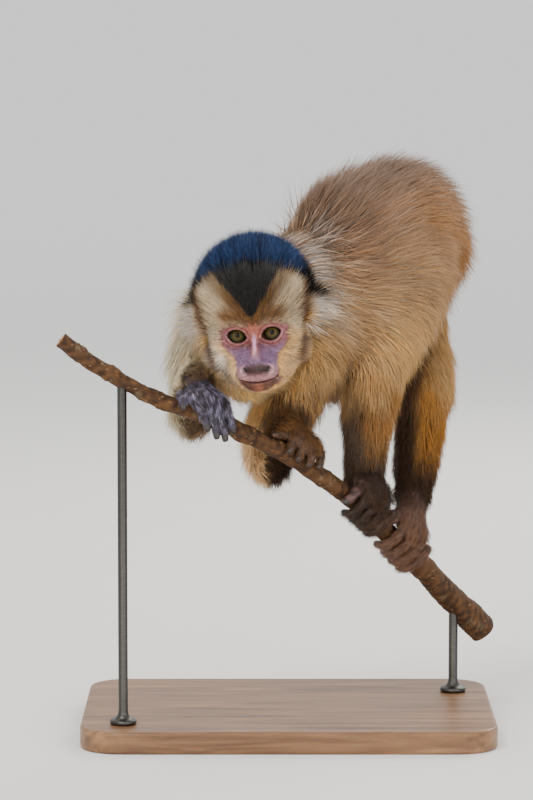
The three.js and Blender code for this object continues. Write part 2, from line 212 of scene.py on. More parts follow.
sideways = (1, 0, 0)
limbs = {
    "armLeft": makeChain(
        [(10, -14, 262), (2, -4, 232), (-13, 18, 192), (-13, 11, 184), (-6, -14, 197), (-2, -29, 209)],
        wide=[30, 27, 24.5, 23, 18, 14, 11], coat=[9, 9, 7, 6.5, 6, 5, 2.5], up=sideways),
    "armRight": makeChain(
        [(-49, -5, 281), (-59, 2, 252), (-64, 19, 221), (-66, 12, 216), (-65, -22, 230), (-62, -39, 245)],
        wide=[30, 28, 22, 18, 17, 15, 12], coat=[10, 10, 8, 6, 6, 5.5, 3], up=sideways),
    "legLeft": makeChain(
        [(76, 50, 306), (67, 27, 279), (57.5, 2, 248), (55, -3, 224), (53, 5, 190), (52, 12, 166)],
        wide=[34, 29, 24.5, 22, 20, 17, 14], tall=[36, 33, 29, 24.5, 20.5, 17, 14],
        coat=[9, 9, 8, 7, 6, 5.5, 4], up=sideways),
    "legRight": makeChain(
        [(76, 88, 304), (82, 76, 270), (92, 62, 238), (93, 56, 214), (91, 47, 180), (87, 40, 156)],
        wide=[38, 34, 29, 25, 20, 17, 14], coat=[9, 9, 8, 7, 6, 5.5, 4], up=sideways),
}
tail = makeChain(
    [(92, 96, 330), (98, 118, 338), (100, 146, 324), (98, 160, 286), (94, 162, 240),
     (90, 152, 198), (86, 134, 170), (86, 112, 162), (90, 98, 176), (94, 102, 192)],
    wide=[19, 16, 14.5, 13.5, 12.5, 11.5, 10.5, 8], coat=[9, 8, 7.5, 7, 6.5, 6, 5.5, 4], up=sideways)

perchPath = [(-151, -77, 274), (-130, -75, 258), (-111, -71, 246), (-90, -67, 235), (-56, -57, 221),
             (-4.5, -37, 195), (17, -27, 180), (52, -5, 151), (81, 18, 119), (106, 40, 91), (137, 65, 57)]
perchRadii = [5.4, 5.2, 5.6, 6.3, 6.3, 6.4, 7.4, 8.6, 10.8]
perch = makeChain(perchPath, wide=perchRadii)

# The head's own frame: x to its right, y forward out of the face, z up, from the mark between the eyes.
headPlace = {"eyes": (-23.4, -85, 278.7), "pitch": 24, "roll": 6, "yaw": -1}
headTurn = np.array(
    Matrix.Rotation(np.radians(180 + headPlace["yaw"]), 3, "Z")
    @ Matrix.Rotation(np.radians(-headPlace["pitch"]), 3, "X")
    @ Matrix.Rotation(np.radians(headPlace["roll"]), 3, "Y"))
eyeball = {"at": (11.5, -8.4, -4.4), "radius": 8.2, "lid": 9.1, "lookUp": 22, "slant": 14,
           "halfWidth": 6.3, "upper": 4.5, "lower": 4.0}


def toHead(p):
    return (p - np.array(headPlace["eyes"])) @ headTurn


def fromHead(q):
    return np.asarray(q, float) @ headTurn.T + np.array(headPlace["eyes"])


# Places round the branch, from 0 on top to 90 in front, at a height above its bark.
def perchSection(x):
    line = perch["line"]
    centre = np.array([x, np.interp(x, line[:, 0], line[:, 1]), np.interp(x, line[:, 0], line[:, 2])])
    along = unit(np.array([np.interp(x, line[:, 0], perch["along"][:, k]) for k in range(3)]))
    front = unit(np.cross(along, (0, 0, 1)))
    return centre, np.interp(x, line[:, 0], perch["wide"]), along, np.cross(front, along), front


def roundPerch(x, angle, height):
    centre, radius, _, over, front = perchSection(x)
    a = np.radians(angle)
    return centre + (over * np.cos(a) + front * np.sin(a)) * (radius + height)


finger = {"lift": 3, "thick": 3.1}
toe = {"lift": 3.5, "thick": 3.3}
grips = {
    "handRight": {
        "palm": {"x": -60.5, "angle": 32, "height": 6.5, "radii": (17, 11, 7)},
        "wrist": (-62, -41, 243), "wristRadius": 8.6, "groove": 0.6,
        "digits": [
            {**finger, "x": -76, "slide": 3, "from": 35, "to": 86, "lift": 1},
            {**finger, "x": -69.5, "slide": 13, "from": 35, "to": 112, "hang": 4},
            {**finger, "x": -62.5, "slide": 11.5, "from": 35, "to": 112, "hang": 7},
            {**finger, "x": -55.5, "slide": 10, "from": 35, "to": 110, "hang": 6.5},
            {**finger, "x": -48.5, "slide": 8.5, "from": 30, "to": 100}]},
    "handLeft": {
        "palm": {"x": 3.5, "angle": 10, "height": 6.5, "radii": (14, 11, 7)},
        "wrist": (-2, -28, 209), "wristRadius": 8.4, "groove": 0.9,
        "digits": [
            {**finger, "x": -4, "slide": 0, "from": 20, "to": 78, "thick": 3.4},
            {**finger, "x": 2, "slide": 0.5, "from": 20, "to": 86, "thick": 3.5},
            {**finger, "x": 8, "slide": 1, "from": 20, "to": 84, "thick": 3.4},
            {**finger, "x": 13.5, "slide": 1, "from": 20, "to": 70, "thick": 3.2},
            {**finger, "x": -6, "slide": -9, "from": 5, "to": 40, "lift": 1}]},
    "footLeft": {
        "palm": {"x": 48.5, "angle": 38, "height": 7.5, "radii": (13.5, 15.5, 8.5)},
        "wrist": (52, 11, 167), "wristRadius": 10.5, "groove": 2.4,
        "digits": [
            {**toe, "x": 44, "slide": 0.5, "from": 60, "to": 198},
            {**toe, "x": 49.5, "slide": 0.5, "from": 60, "to": 206},
            {**toe, "x": 55, "slide": 0, "from": 60, "to": 204},
            {**toe, "x": 60, "slide": -0.5, "from": 60, "to": 194},
            {**toe, "x": 40.5, "slide": -3.5, "from": 8, "to": 124, "thick": 4.0, "lift": 2.5}]},
    "footRight": {
        "palm": {"x": 73, "angle": 36, "height": 7.5, "radii": (13.5, 15.5, 8.5)},
        "wrist": (86, 38, 155), "wristRadius": 10.5, "groove": 2.4,
        "digits": [
            {**toe, "x": 68, "slide": 0, "from": 60, "to": 196},
            {**toe, "x": 73.5, "slide": 0, "from": 60, "to": 206},
            {**toe, "x": 79, "slide": -0.5, "from": 60, "to": 206},
            {**toe, "x": 84, "slide": -1, "from": 60, "to": 194},
            {**toe, "x": 67, "slide": -9, "from": 5, "to": 112, "thick": 3.9, "lift": 2.5}]},
}


def digitChain(d):
    points = []
    for s in np.linspace(0, 1, 5):
        height = d["thick"] + 0.4 + d["lift"] * (1 - s) ** 2
        points.append(roundPerch(d["x"] + d["slide"] * s, d["from"] + (d["to"] - d["from"]) * s, height))
    if "hang" in d:
        points.append(points[4] + (d["hang"] * 0.2, 0, -d["hang"]))
    knuckles = np.array([1.0, 0.96, 1.12, 0.95, 0.9, 1.06, 0.9, 0.92, 0.74]) * (d["thick"] - 0.2)
    return makeChain(points, wide=list(knuckles), up=perchSection(d["x"])[2], spacing=1.0)


def gripParts(g):
    palm = g["palm"]
    along, over, front = perchSection(palm["x"])[2:]
    turn = np.array(Matrix.Rotation(np.radians(palm["angle"]), 3, along.tolist()))
    return {"centre": roundPerch(palm["x"], palm["angle"], palm["height"]),
            "axes": np.column_stack([along, turn @ front, turn @ over]), "radii": palm["radii"],
            "wrist": np.array(g["wrist"], float), "wristRadius": g["wristRadius"],
            "digits": [digitChain(d) for d in g["digits"]], "groove": g["groove"]}


gripShapes = {name: gripParts(g) for name, g in grips.items()}


def groovedMin(every, k):  # digits beside each other keep a crease between them
    d = every[0]
    for other in every[1:]:
        d = smoothMin(d, other, k)
    return d


def gripDistance(g, p):
    q = (p - g["centre"]) @ g["axes"]
    d = ovalDistance(q, 0, g["radii"])
    wrist = (g["wrist"] - g["centre"]) @ g["axes"]
    d = smoothMin(d, barDistance(q, (0, 0, 0.5), wrist, g["radii"][2] - 0.8, g["wristRadius"]), 5)
    return smoothMin(d, groovedMin([chainDistance(digit, p) for digit in g["digits"]], g["groove"]), 1.9)


def oneSide(q):  # the head is alike on both sides, so its shape is worked out for x above 0
    return np.column_stack([np.abs(q[:, 0]), q[:, 1:]])


def earDistance(q):  # a cupped blade that opens forwards
    out = unit(np.array([0.72, -0.7, 0.05]))
    facing = unit(np.cross(unit(np.array([0.1, -0.14, 1.0])), out))
    e = (q - np.array([38.0, -46.5, -8.5])) @ np.column_stack([out, np.cross(out, facing), facing])
    shell = ovalDistance(e, (0, 0, 0), (8.6, 10.8, 3.9))
    bowl = ovalDistance(e, (-0.4, -0.3, 2.6), (7.2, 9.2, 4.3))
    blade = smoothMax(shell, -bowl, 0.7)
    fold = smoothMax(ovalDistance(e, (1.2, 1.2, -0.5), (4.8, 6.4, 1.8)),
                     -ovalDistance(e, (0.4, 0.2, 0.9), (3.8, 5.1, 2.9)), 0.5)
    stalk = barDistance(q, (24, -42, -9), (32, -44, -9), 6, 3.8)
    return smoothMin(smoothMin(blade, fold, 0.7), stalk, 3)


# Distance outside the eye's opening across the face, depth in front of the eye, and height across it.
def almondPlace(q):
    up, slant = np.radians(eyeball["lookUp"]), np.radians(eyeball["slant"])
    r = q - np.array(eyeball["at"])
    ahead = r @ np.array([0, np.cos(up), np.sin(up)])
    lift = r @ np.array([0, -np.sin(up), np.cos(up)])
    u = r[:, 0] * np.cos(slant) + lift * np.sin(slant)
    w = -r[:, 0] * np.sin(slant) + lift * np.cos(slant)
    half, upper, lower = (eyeball[k] for k in ("halfWidth", "upper", "lower"))
    big = [(half**2 + h**2) / (2 * h) for h in (upper, lower)]
    top = np.hypot(u, w - upper + big[0]) - big[0]
    bottom = np.hypot(u, w + lower - big[1]) - big[1]
    return np.maximum(top, bottom), ahead, w


# Ovals that build up the head: place, radii, and how softly each runs into the ones before it.
skullOvals = [
    ((0, -22, 7), (29, 21, 22), 6),  # forehead
    ((0, -15, -7), (27, 14, 22), 8),  # face
    ((0, -30, -22), (27, 24, 20), 8),  # jaw
    ((17, -13, -16), (11.5, 11, 11), 7),  # cheek
    ((0, -12, -28), (17, 14, 11), 8),  # under the jaw
    ((0, -14, -36), (19, 13, 12), 7),  # throat
    ((0, 1, -23), (16.5, 12.5, 11.5), 6),  # muzzle
    ((11, -5.5, 7.5), (10, 4.6, 4.2), 4)]  # brow ridge
mouthOvals = [
    ((0, 7.2, -26.2), (14.6, 7.6, 4.6), 3),  # upper lip
    ((0, 4.2, -34), (10.6, 8.4, 5.8), 4),  # chin
    ((0, 7.2, -31.4), (11.6, 5.4, 2.6), 2),  # lower lip
    ((0, 12.8, -14.8), (5.4, 3.9, 3.7), 2.5),  # tip of the nose
    ((6.6, 11.8, -17.4), (3.1, 4.0, 3.3), 1.6),  # rim of the nostril
    ((0, 14.0, -18.6), (4.4, 3.4, 3.2), 1.5)]  # between the nostrils
mouth = {"height": -29.4, "rise": 0.012, "corner": 17}  # the line of the lips curves up to its corners


def withOvals(d, q, ovals):
    for at, radii, soft in ovals:
        d = smoothMin(d, ovalDistance(q, at, radii), soft)
    return d


def aboveMouth(q):
    return q[:, 2] - (mouth["height"] + mouth["rise"] * q[:, 0]**2)


def headDistance(p):
    q = oneSide(toHead(p))
    x, y, z = q.T
    d = withOvals(ovalDistance(q, (0, -38, 11), (34, 40, 31)), q, skullOvals)
    d = smoothMax(d, -ovalDistance(q, (11.5, 4, -2.5), (8.5, 6.5, 7.5)), 3.5)  # hollow of the orbit
    d = smoothMin(d, np.linalg.norm(q - np.array(eyeball["at"]), axis=1) - eyeball["lid"], 1.6)
    d = smoothMin(d, barDistance(q, (0, -5, 3), (0, 9.2, -12), 1.9, 3.1), 5)  # bridge of the nose
    d = withOvals(d, q, mouthOvals)
    nostril = (q - np.array([7.4, 14.6, -17.9])) @ np.array(Matrix.Rotation(np.radians(48), 3, "Z"))
    d = smoothMax(d, -ovalDistance(nostril, 0, (1.6, 4.0, 2.1)), 0.6)
    front = ramp(y, -6, 2)
    d = d + 1.5 * bump(aboveMouth(q), 0, 0.75) * ramp(x, mouth["corner"], 14.5) * front
    d = d + 0.5 * bump(x, 0, 0.8) * ramp(z, -28.5, -26.5) * ramp(z, -20, -22) * front  # under the nose
    almond, ahead, w = almondPlace(q)
    near = ramp(ahead, 1, 5)
    d = d + 0.55 * bump(almond, 2.3, 0.6) * ramp(w, 0, 2) * near
    folds = 0.4 * bump(almond, 2.0, 0.6) + 0.3 * bump(almond, 3.7, 0.6) + 0.3 * bump(almond, 5.4, 0.7)
    d = d + folds * ramp(w, 0, -2) * near
    d = d - 0.35 * bump(almond, 0.7, 0.7) * near  # the lid's rim
    d = smoothMax(d, -np.maximum(almond, 2.0 - ahead), 0.5)
    return smoothMin(d, earDistance(q), 2)


partNames = ["trunk", *limbs, "tail", "head", *gripShapes]
headPart = partNames.index("head")
chains = {"trunk": trunk, **limbs, "tail": tail}
headRoom = ((-50, 50), (-82, 20), (-44, 46))  # from side to side, from back to front, and up
outOfReach = 40.0  # the distance given to points far from a part


def partBox(name):
    if name == "head":
        spots, grow = fromHead([(x, y, z) for x in headRoom[0] for y in headRoom[1] for z in headRoom[2]]), 8
    elif name in gripShapes:
        g = gripShapes[name]
        spots, grow = np.vstack([d["line"] for d in g["digits"]] + [g["centre"], g["wrist"]]), 32
    else:
        chain = chains[name]
        spots, grow = chain["line"], max(chain["wide"].max(), chain["tall"].max()) + 14
    return spots.min(0) - grow, spots.max(0) + grow


partBoxes = {name: partBox(name) for name in partNames}


def partDistances(p):
    found = np.full((len(p), len(partNames)), outOfReach)
    for k, name in enumerate(partNames):
        low, high = partBoxes[name]
        inside = np.flatnonzero(((p > low) & (p < high)).all(1))
        if not len(inside):
            continue
        if name == "head":
            found[inside, k] = headDistance(p[inside])
        elif name in gripShapes:
            found[inside, k] = gripDistance(gripShapes[name], p[inside])
        else:
            found[inside, k] = chainDistance(chains[name], p[inside])
    return found


def barkDistance(p):  # measured only beside the branch
    line = perch["line"]
    found = np.full(len(p), outOfReach)
    beside = [np.abs(p[:, k] - np.interp(p[:, 0], line[:, 0], line[:, k])) < 24 for k in (1, 2)]
    rows = np.flatnonzero(beside[0] & beside[1])
    if len(rows):
        found[rows] = chainDistance(perch, p[rows])
    return found


# How softly each part runs into the ones before it, where it isn't the usual 7.
blendOf = {"legLeft": 16, "legRight": 11, "tail": 6, "head": 8, "handRight": 2.5, "handLeft": 2.5,
           "footLeft": 3, "footRight": 3}

skinChunk = 300000  # points worked out at a time
clearOfBark = 0.1  # the gap kept between the skin and the branch


def skinDistance(p):
    out = np.empty(len(p))
    for i in range(0, len(p), skinChunk):
        part = p[i:i + skinChunk]
        every = partDistances(part)
        d = every[:, 0]
        for k, name in enumerate(partNames[1:], 1):
            d = smoothMin(d, every[:, k], blendOf.get(name, 7))
        out[i:i + skinChunk] = smoothMax(d, clearOfBark - barkDistance(part), 0.5)
    return out


def slopeAt(distance, p, h=0.15):  # the outward direction and the distance
    d = distance(p)
    slope = np.column_stack([distance(p + h * np.eye(3)[k]) - d for k in range(3)]) / h
    return slope, d


def wayToSurface(slope, d):
    return slope * (d / np.maximum(dot(slope, slope), 0.15))[:, None]


def ontoSurface(distance, p, longest=1.2):  # one step to the surface, cut short where it is too long
    move = wayToSurface(*slopeAt(distance, p))
    far = np.linalg.norm(move, axis=1, keepdims=True)
    return p - move * np.minimum(1, longest / np.maximum(far, 1e-9))


# The surface where a grid of distances passes zero: one point in each crossed cell, and a quad
# round each crossed edge.
def surfaceNet(field, low, step):
    inside = field < 0
    quads, hits = [], []
    for axis in range(3):
        a, b = (tuple(slice(j, field.shape[axis] - 1 + j) if k == axis else slice(None) for k in range(3))
                for j in (0, 1))
        at = np.argwhere(inside[a] != inside[b])
        here = field[tuple(at.T)]
        nextUp = at.copy()
        nextUp[:, axis] += 1
        there = field[tuple(nextUp.T)]
        crossing = at.astype(float)
        crossing[:, axis] += here / (here - there)
        u, w = (axis + 1) % 3, (axis + 2) % 3
        around = []
        for du, dw in ((0, 0), (1, 0), (1, 1), (0, 1)):
            cell = at.copy()
            cell[:, u] -= du
            cell[:, w] -= dw
            around.append(np.ravel_multi_index(tuple(cell.T), field.shape))
        quad = np.column_stack(around)
        quad[here > 0] = quad[here > 0][:, ::-1]
        quads.append(quad)
        hits.append(np.repeat(crossing, 4, axis=0).reshape(-1, 4, 3))
    quads, hits = np.vstack(quads), np.vstack(hits)
    _, index = np.unique(quads, return_inverse=True)
    index = index.reshape(quads.shape)
    count = np.bincount(index.ravel())
    points = np.column_stack([np.bincount(index.ravel(), hits[:, :, k].ravel()) / count for k in range(3)])
    return low + points * step, index


skinSettings = {"low": (-112.0, -122.0, 96.0), "high": (152.0, 182.0, 392.0), "step": 0.9, "block": 4,
                "underCoatShare": 0.14, "relax": 2}


def gridSpots(*counts):
    return np.stack(np.meshgrid(*(np.arange(n) for n in counts), indexing="ij"), -1).reshape(-1, 3)


def skinGrid(s):  # distances on a fine grid, worked out only near the surface
    step, block = s["step"], s["block"]
    low = np.array(s["low"])
    cells = np.ceil((np.array(s["high"]) - low) / (step * block)).astype(int)
    spots = gridSpots(*cells)
    coarse = skinDistance(low + (spots * block + (block - 1) / 2) * step)
    field = coarse.reshape(cells).repeat(block, 0).repeat(block, 1).repeat(block, 2).astype(np.float32)
    near = spots[np.abs(coarse) < 1.6 * step * block]
    close = (near[:, None] * block + gridSpots(block, block, block)).reshape(-1, 3)
    field[tuple(close.T)] = skinDistance(low + close * step)
    return field, low


def makeObject(name, points, faces, material, smooth=True, colours=None, uv=None):
    mesh = bpy.data.meshes.new(name)
    flat = np.concatenate([f.ravel() for f in faces]).astype(np.int32)
    sizes = np.concatenate([np.full(len(f), f.shape[1]) for f in faces])
    mesh.vertices.add(len(points))
    mesh.vertices.foreach_set("co", (np.asarray(points) * toMetres).astype(np.float32).ravel())
    mesh.loops.add(len(flat))
    mesh.loops.foreach_set("vertex_index", flat)
    mesh.polygons.add(len(sizes))
    mesh.polygons.foreach_set("loop_start", (np.cumsum(sizes) - sizes).astype(np.int32))
    mesh.update(calc_edges=True)
    mesh.polygons.foreach_set("use_smooth", np.full(len(sizes), smooth))
    if colours is not None:
        layer = mesh.color_attributes.new("tint", "FLOAT_COLOR", "POINT")
        opaque = np.column_stack([colours, np.ones(len(points))])
        layer.data.foreach_set("color", opaque.astype(np.float32).ravel())
    if uv is not None:
        layer = mesh.uv_layers.new(name="OFBake")
        layer.uv.foreach_set("vector", uv[flat].astype(np.float32).ravel())
    mesh.materials.append(material)
    made = bpy.data.objects.new(name, mesh)
    bpy.context.collection.objects.link(made)
    return made


def meshArrays(mesh):
    mesh.calc_loop_triangles()
    points = np.empty(len(mesh.vertices) * 3, np.float32)
    mesh.vertices.foreach_get("co", points)
    triangles = np.empty(len(mesh.loop_triangles) * 3, np.int32)
    mesh.loop_triangles.foreach_get("vertices", triangles)
    return points.reshape(-1, 3).astype(float) / toMetres, triangles.reshape(-1, 3)


def loft(rings):  # a closed solid through rings of equal count
    rings = np.asarray(rings, float)
    n, k = rings.shape[:2]
    grid = np.arange(n * k).reshape(n, k)
    nextOne = np.roll(grid, -1, axis=1)
    sides = np.stack([grid[:-1], nextOne[:-1], nextOne[1:], grid[1:]], -1).reshape(-1, 4)
    return rings.reshape(-1, 3), [sides, grid[0][None, ::-1], grid[-1][None]]


def setInputs(tree, node, inputs):  # a socket is linked and a plain value is set
    for key, value in inputs.items():
        if isinstance(value, bpy.types.NodeSocket):
            tree.links.new(value, node.inputs[key])
        else:
            node.inputs[key].default_value = value


def addNode(tree, kind, inputs={}, **settings):
    made = tree.nodes.new(kind)
    for key, value in settings.items():
        setattr(made, key, value)
    setInputs(tree, made, inputs)
    return made


def addStretch(tree, place, scale):
    return addNode(tree, "ShaderNodeMapping", {"Vector": place, "Scale": scale}).outputs["Vector"]


def addNoise(tree, place, scale, detail, **more):
    return addNode(tree, "ShaderNodeTexNoise", {
        "Vector": place, "Scale": scale, "Detail": detail, **more}).outputs["Fac"]


def addCracks(tree, place, scale):  # distance from the edges of uneven cells
    return addNode(tree, "ShaderNodeTexVoronoi", {"Vector": place, "Scale": scale},
                   feature="DISTANCE_TO_EDGE").outputs["Distance"]


def addRange(tree, value, low, high, fromLow=0.0, fromHigh=1.0, **settings):
    return addNode(tree, "ShaderNodeMapRange", {
        "Value": value, "From Min": fromLow, "From Max": fromHigh, "To Min": low, "To Max": high},
        **settings).outputs["Result"]


def addMix(tree, amount, first, second, **settings):
    return addNode(tree, "ShaderNodeMixRGB", {"Fac": amount, "Color1": first, "Color2": second},
                   **settings).outputs["Color"]


def addBump(tree, height, strength, distance, **under):
    return addNode(tree, "ShaderNodeBump", {
        "Height": height, "Strength": strength, "Distance": distance, **under}).outputs["Normal"]


def startMaterial(name):
    material = bpy.data.materials.new(name)
    material.use_nodes = True
    place = addNode(material.node_tree, "ShaderNodeTexCoord").outputs["Object"]
    return material, material.node_tree, place


def finishMaterial(material, inputs):
    tree = material.node_tree
    setInputs(tree, tree.nodes["Principled BSDF"], inputs)
    return material


def rgba(*rgb):
    return (*shade(*rgb), 1)


def tintedColour(tree, noise, strength):  # the painted tint, broken up by fine noise
    paint = addNode(tree, "ShaderNodeAttribute", attribute_name="tint").outputs["Color"]
    level = addRange(tree, noise, 1 - strength, 1 + strength, 0.3, 0.7)
    scaled = addNode(tree, "ShaderNodeVectorMath", {0: paint, "Scale": level}, operation="SCALE")
    return scaled.outputs["Vector"]


def coatMaterial(name, gloss, sheen):
    material, tree, place = startMaterial(name)
    noise = addNoise(tree, place, 900, 3.0)
    return finishMaterial(material, {
        "Base Color": tintedColour(tree, noise, 0.14), "Normal": addBump(tree, noise, 0.2, 0.0002),
        "Roughness": 0.58, "Specular IOR Level": gloss, "Sheen Weight": sheen, "Sheen Roughness": 0.4})


def skinMaterial():
    material, tree, place = startMaterial("bareSkin")
    folds = addNoise(tree, place, 1500, 4.0)
    pores = addBump(tree, addCracks(tree, place, 1100), 0.5, 0.0007)
    return finishMaterial(material, {
        "Base Color": tintedColour(tree, addNoise(tree, place, 520, 6.0), 0.2),
        "Roughness": addRange(tree, folds, 0.36, 0.56, 0.3, 0.7),
        "Normal": addBump(tree, folds, 0.5, 0.0006, Normal=pores), "Specular IOR Level": 0.42,
        "Subsurface Weight": 0.12, "Subsurface Radius": (0.003, 0.0012, 0.0008), "Subsurface Scale": 0.6})


# Each colour of the coat, at the root and at the tip of the hair.
fur = {
    # the cap's blue sheen colour is a painted reflection of the sky
    "cap": ((4, 3, 2), (15, 10, 6)), "capSheen": ((9, 10, 15), (52, 74, 118)),
    "cream": ((128, 97, 60), (220, 199, 164)), "tan": ((44, 26, 10), (106, 73, 33)),
    "brow": ((50, 30, 16), (134, 92, 48)), "cheek": ((184, 146, 104), (255, 242, 222)),
    "cheekGold": ((168, 112, 54), (254, 204, 130)), "throat": ((186, 134, 66), (254, 208, 120)),
    "stripe": ((44, 24, 6), (104, 60, 18)), "white": ((112, 94, 82), (252, 248, 244)),
    "backTop": ((58, 42, 33), (132, 104, 85)), "back": ((82, 55, 38), (174, 132, 98)),
    "flank": ((106, 71, 42), (210, 164, 112)), "rump": ((86, 48, 14), (184, 124, 54)),
    "shoulder": ((116, 84, 56), (228, 190, 148)), "belly": ((164, 114, 58), (252, 202, 128)),
    # the dark inner-thigh colour is partly the fur's own and partly painted shade between the legs
    "thigh": ((112, 76, 40), (218, 170, 108)), "innerThighAndShade": ((34, 20, 7), (82, 50, 18)),
    "armCream": ((156, 132, 98), (250, 236, 204)), "armGold": ((110, 74, 32), (214, 162, 94)),
    # the pale elbow colour is golden fur lit as painted sunlight
    "elbow": ((196, 140, 88), (255, 218, 164)), "dark": ((22, 12, 3), (68, 39, 8)),
    "shankGold": ((88, 50, 12), (196, 132, 46)), "tailTop": ((44, 30, 18), (104, 74, 46)),
    # the right hand's silver-blue colour is a painted sheen on its dark hair
    "tailEnd": ((30, 21, 14), (74, 52, 34)), "hand": ((26, 22, 30), (182, 172, 206)),
    "handDark": ((14, 10, 10), (44, 34, 34)), "handBrown": ((36, 22, 10), (128, 86, 42)),
    "forearm": ((48, 29, 9), (122, 80, 28)),
    "footLeft": ((24, 14, 6), (74, 48, 25)), "footRight": ((56, 37, 27), (148, 106, 78)),
}
fur = {name: np.array([shade(*root), shade(*tip)]) for name, (root, tip) in fur.items()}


def faceMap(q):  # places on the face seen from in front: across it, and up it at a lean of 30 degrees
    return np.abs(q[:, 0]), 0.866 * q[:, 2] - 0.5 * q[:, 1]


def bareEdge(v):  # how far the bare skin reaches to each side
    return np.interp(v, [-42, -39.5, -35.6, -31.4, -27, -20, -14, -9, -3, 3, 6, 8, 10, 12, 13],
                     [-4, 5, 12, 16.5, 17, 15.5, 16, 20.5, 26.5, 26.5, 23, 17, 13, 3, -4])


def bareFace(q):  # 1 on the bare face and 0 in the coat
    h, v = faceMap(q)
    back = np.interp(v, [-28, -14], [-7, -21])
    bare = ramp(h - bareEdge(v), 1.5, -3.5) * ramp(q[:, 1] - back, -3, 3)
    bare = bare * ramp(q[:, 1] + 0.9 * (v + 44), -2, 6)
    return bare * (1 - bump(h, 0, 3.6) * ramp(v, 6.5, 9.5))


def fromFace(q):  # how far out in the coat of the head a place is
    h, v = faceMap(q)
    above = ramp(v, 5, 13)
    beside = np.maximum(h - bareEdge(v), 0) * (1 - above)
    return beside + above * (np.maximum(v - 8, 0) * 0.9 + np.maximum(h - 18, 0) * 0.5)


def earMask(q):
    h = np.abs(q[:, 0])
    return ramp(h, 30, 33.5) * ramp(q[:, 1], -34, -38) * ramp(q[:, 2], 7, 4) * ramp(q[:, 2], -24, -20)


def sideRuff(q):  # the long hair at the sides of the head, in front of the ears and over them
    h = np.abs(q[:, 0])
    beside = ramp(h, 23, 30) * ramp(q[:, 1], -14, -26) * ramp(q[:, 1], -62, -50)
    return beside * ramp(q[:, 2], 9, -1) * ramp(q[:, 2], -44, -30)


def headFur(q):
    h, v = faceMap(q)
    mottle = wave(q, 9, 5) * 1.4
    golden = ramp(q[:, 0], 6, -10)  # its left cheek is the more golden one
    fromPeak = v - (9.8 + 1.29 * h)  # above 0 is the black peak of the cap
    outer = np.interp(v, [-24, -18, -8, -1.5, 4.5, 15, 31, 34.5, 38.5, 41],
                      [25.5, 27, 30, 32, 33, 33, 33.5, 30.5, 25, 18])
    beyond = h - outer + 1.3 * np.maximum(-26 - q[:, 1], 0)  # depth counts too, round the side of the head
    streak = 0.6 + 0.4 * np.clip(wave(q, 3.5, 6), -1, 1)
    stripe = bump(beyond, 0.4, 2.3) * ramp(v, -26, -14)
    cap = np.maximum(ramp(fromPeak + mottle, -1.2, 1.2),
                     ramp(beyond + mottle * 0.6, -1.2, 1.4) * ramp(v, 18, 25))
    # the blue on the cap's top is a painted sheen: reflected sky on black hair
    sheen = ramp(v + 0.35 * h + mottle * 1.5, 43, 56) * (0.72 + 0.28 * np.clip(wave(q, 7, 7), -1, 1))
    nape = ramp(q[:, 1], -62, -80) * ramp(q[:, 2], 14, -10)
    bothCheeks = painted(fur, "cheek", [("cheekGold", golden * 0.8)])
    return painted({**fur, "bothCheeks": bothCheeks}, "cream", [
        ("bothCheeks", ramp(v, 8, -8)),
        ("cheekGold", ramp(fromFace(q), 6, 2) * ramp(v, 4, -6) * 0.7),
        ("tan", ramp(fromPeak, -17, -4) * (0.75 + 0.25 * ramp(v, 34, 22))),
        ("brow", bump(v, 12.5, 6) * ramp(h, 27, 17)),
        ("throat", ramp(v, -31, -42) * 0.85),
        ("tan", ramp(beyond, 1.5, 3) * ramp(v, 24, 14) * 0.6),
        ("cheekGold", ramp(beyond, 2.5, 4) * ramp(v, 22, 8) * (0.35 + 0.65 * golden)),
        ("white", ramp(beyond, 5 + 3 * golden, 8 + 3 * golden) * ramp(v, 27, 20) * streak),
        ("stripe", np.clip(stripe * 1.2, 0, 1)),
        ("cap", cap),
        ("capSheen", cap * sheen * ramp(h, 37, 31)),
        ("back", nape * 0.7)])


def shadeBetweenThighs(p):  # the coat is dark where the thighs part below the flank: darker fur and painted shade
    edge = 262 + 2.5 * wave(p, 12, 13)
    return ramp(p[:, 0], 72, 80) * ramp(p[:, 2] - edge, 5, -4) * ramp(p[:, 1], 6, 16)


# Each part's colours, from how far along it a place is, how far up its side, and a patchiness.
def trunkFur(s, top, patchy, p):
    x, y, z = p.T
    pale = ramp(x + patchy * 30, 40, 20) * ramp(z, 268, 282) * ramp(y, 6, -12)
    return painted(fur, "flank", [
        ("back", ramp(top + patchy, -0.1, 0.6)),
        ("backTop", ramp(top + patchy, 0.5, 0.95) * ramp(s, 0.25, 0.45)),
        ("belly", ramp(top + patchy, -0.15, -0.7)),
        ("shoulder", ramp(s + patchy, 0.46, 0.2) * (0.75 + 0.25 * ramp(top, 0.9, 0.2))),
        ("white", pale * np.clip(0.42 + 0.42 * wave(p, 4, 12), 0, 1)),
        ("throat", ramp(s, 0.3, 0.1) * ramp(top, 0.1, -0.4) * 0.8),
        ("rump", ramp(s + patchy * 0.5, 0.56, 0.9) * ramp(top, 1.0, 0.2)),
        ("innerThighAndShade", shadeBetweenThighs(p))])


def armRightFur(s, _, patchy, p):
    x, z = p[:, 0], p[:, 2]
    return painted(fur, "armCream", [
        ("handBrown", ramp(x, -77, -67) * ramp(z + patchy * 20, 240, 228) * 0.85),
        ("dark", ramp(s + patchy, 0.93, 1.0) * 0.8)])


def armLeftFur(s, _, patchy, p):
    x, z = p[:, 0], p[:, 2]
    # painted light and shade: the outer side of the elbow paler as painted sunlight, the inner underside
    # darker as painted shade
    outside = ramp(x, -12, -19) * ramp(z, 214, 202)
    return painted(fur, "armGold", [
        ("forearm", ramp(s + patchy, 0.58, 0.72)),
        ("dark", ramp(x, -19, -13) * ramp(z, 206, 196)),
        ("elbow", outside * ramp(s, 0.3, 0.45))])


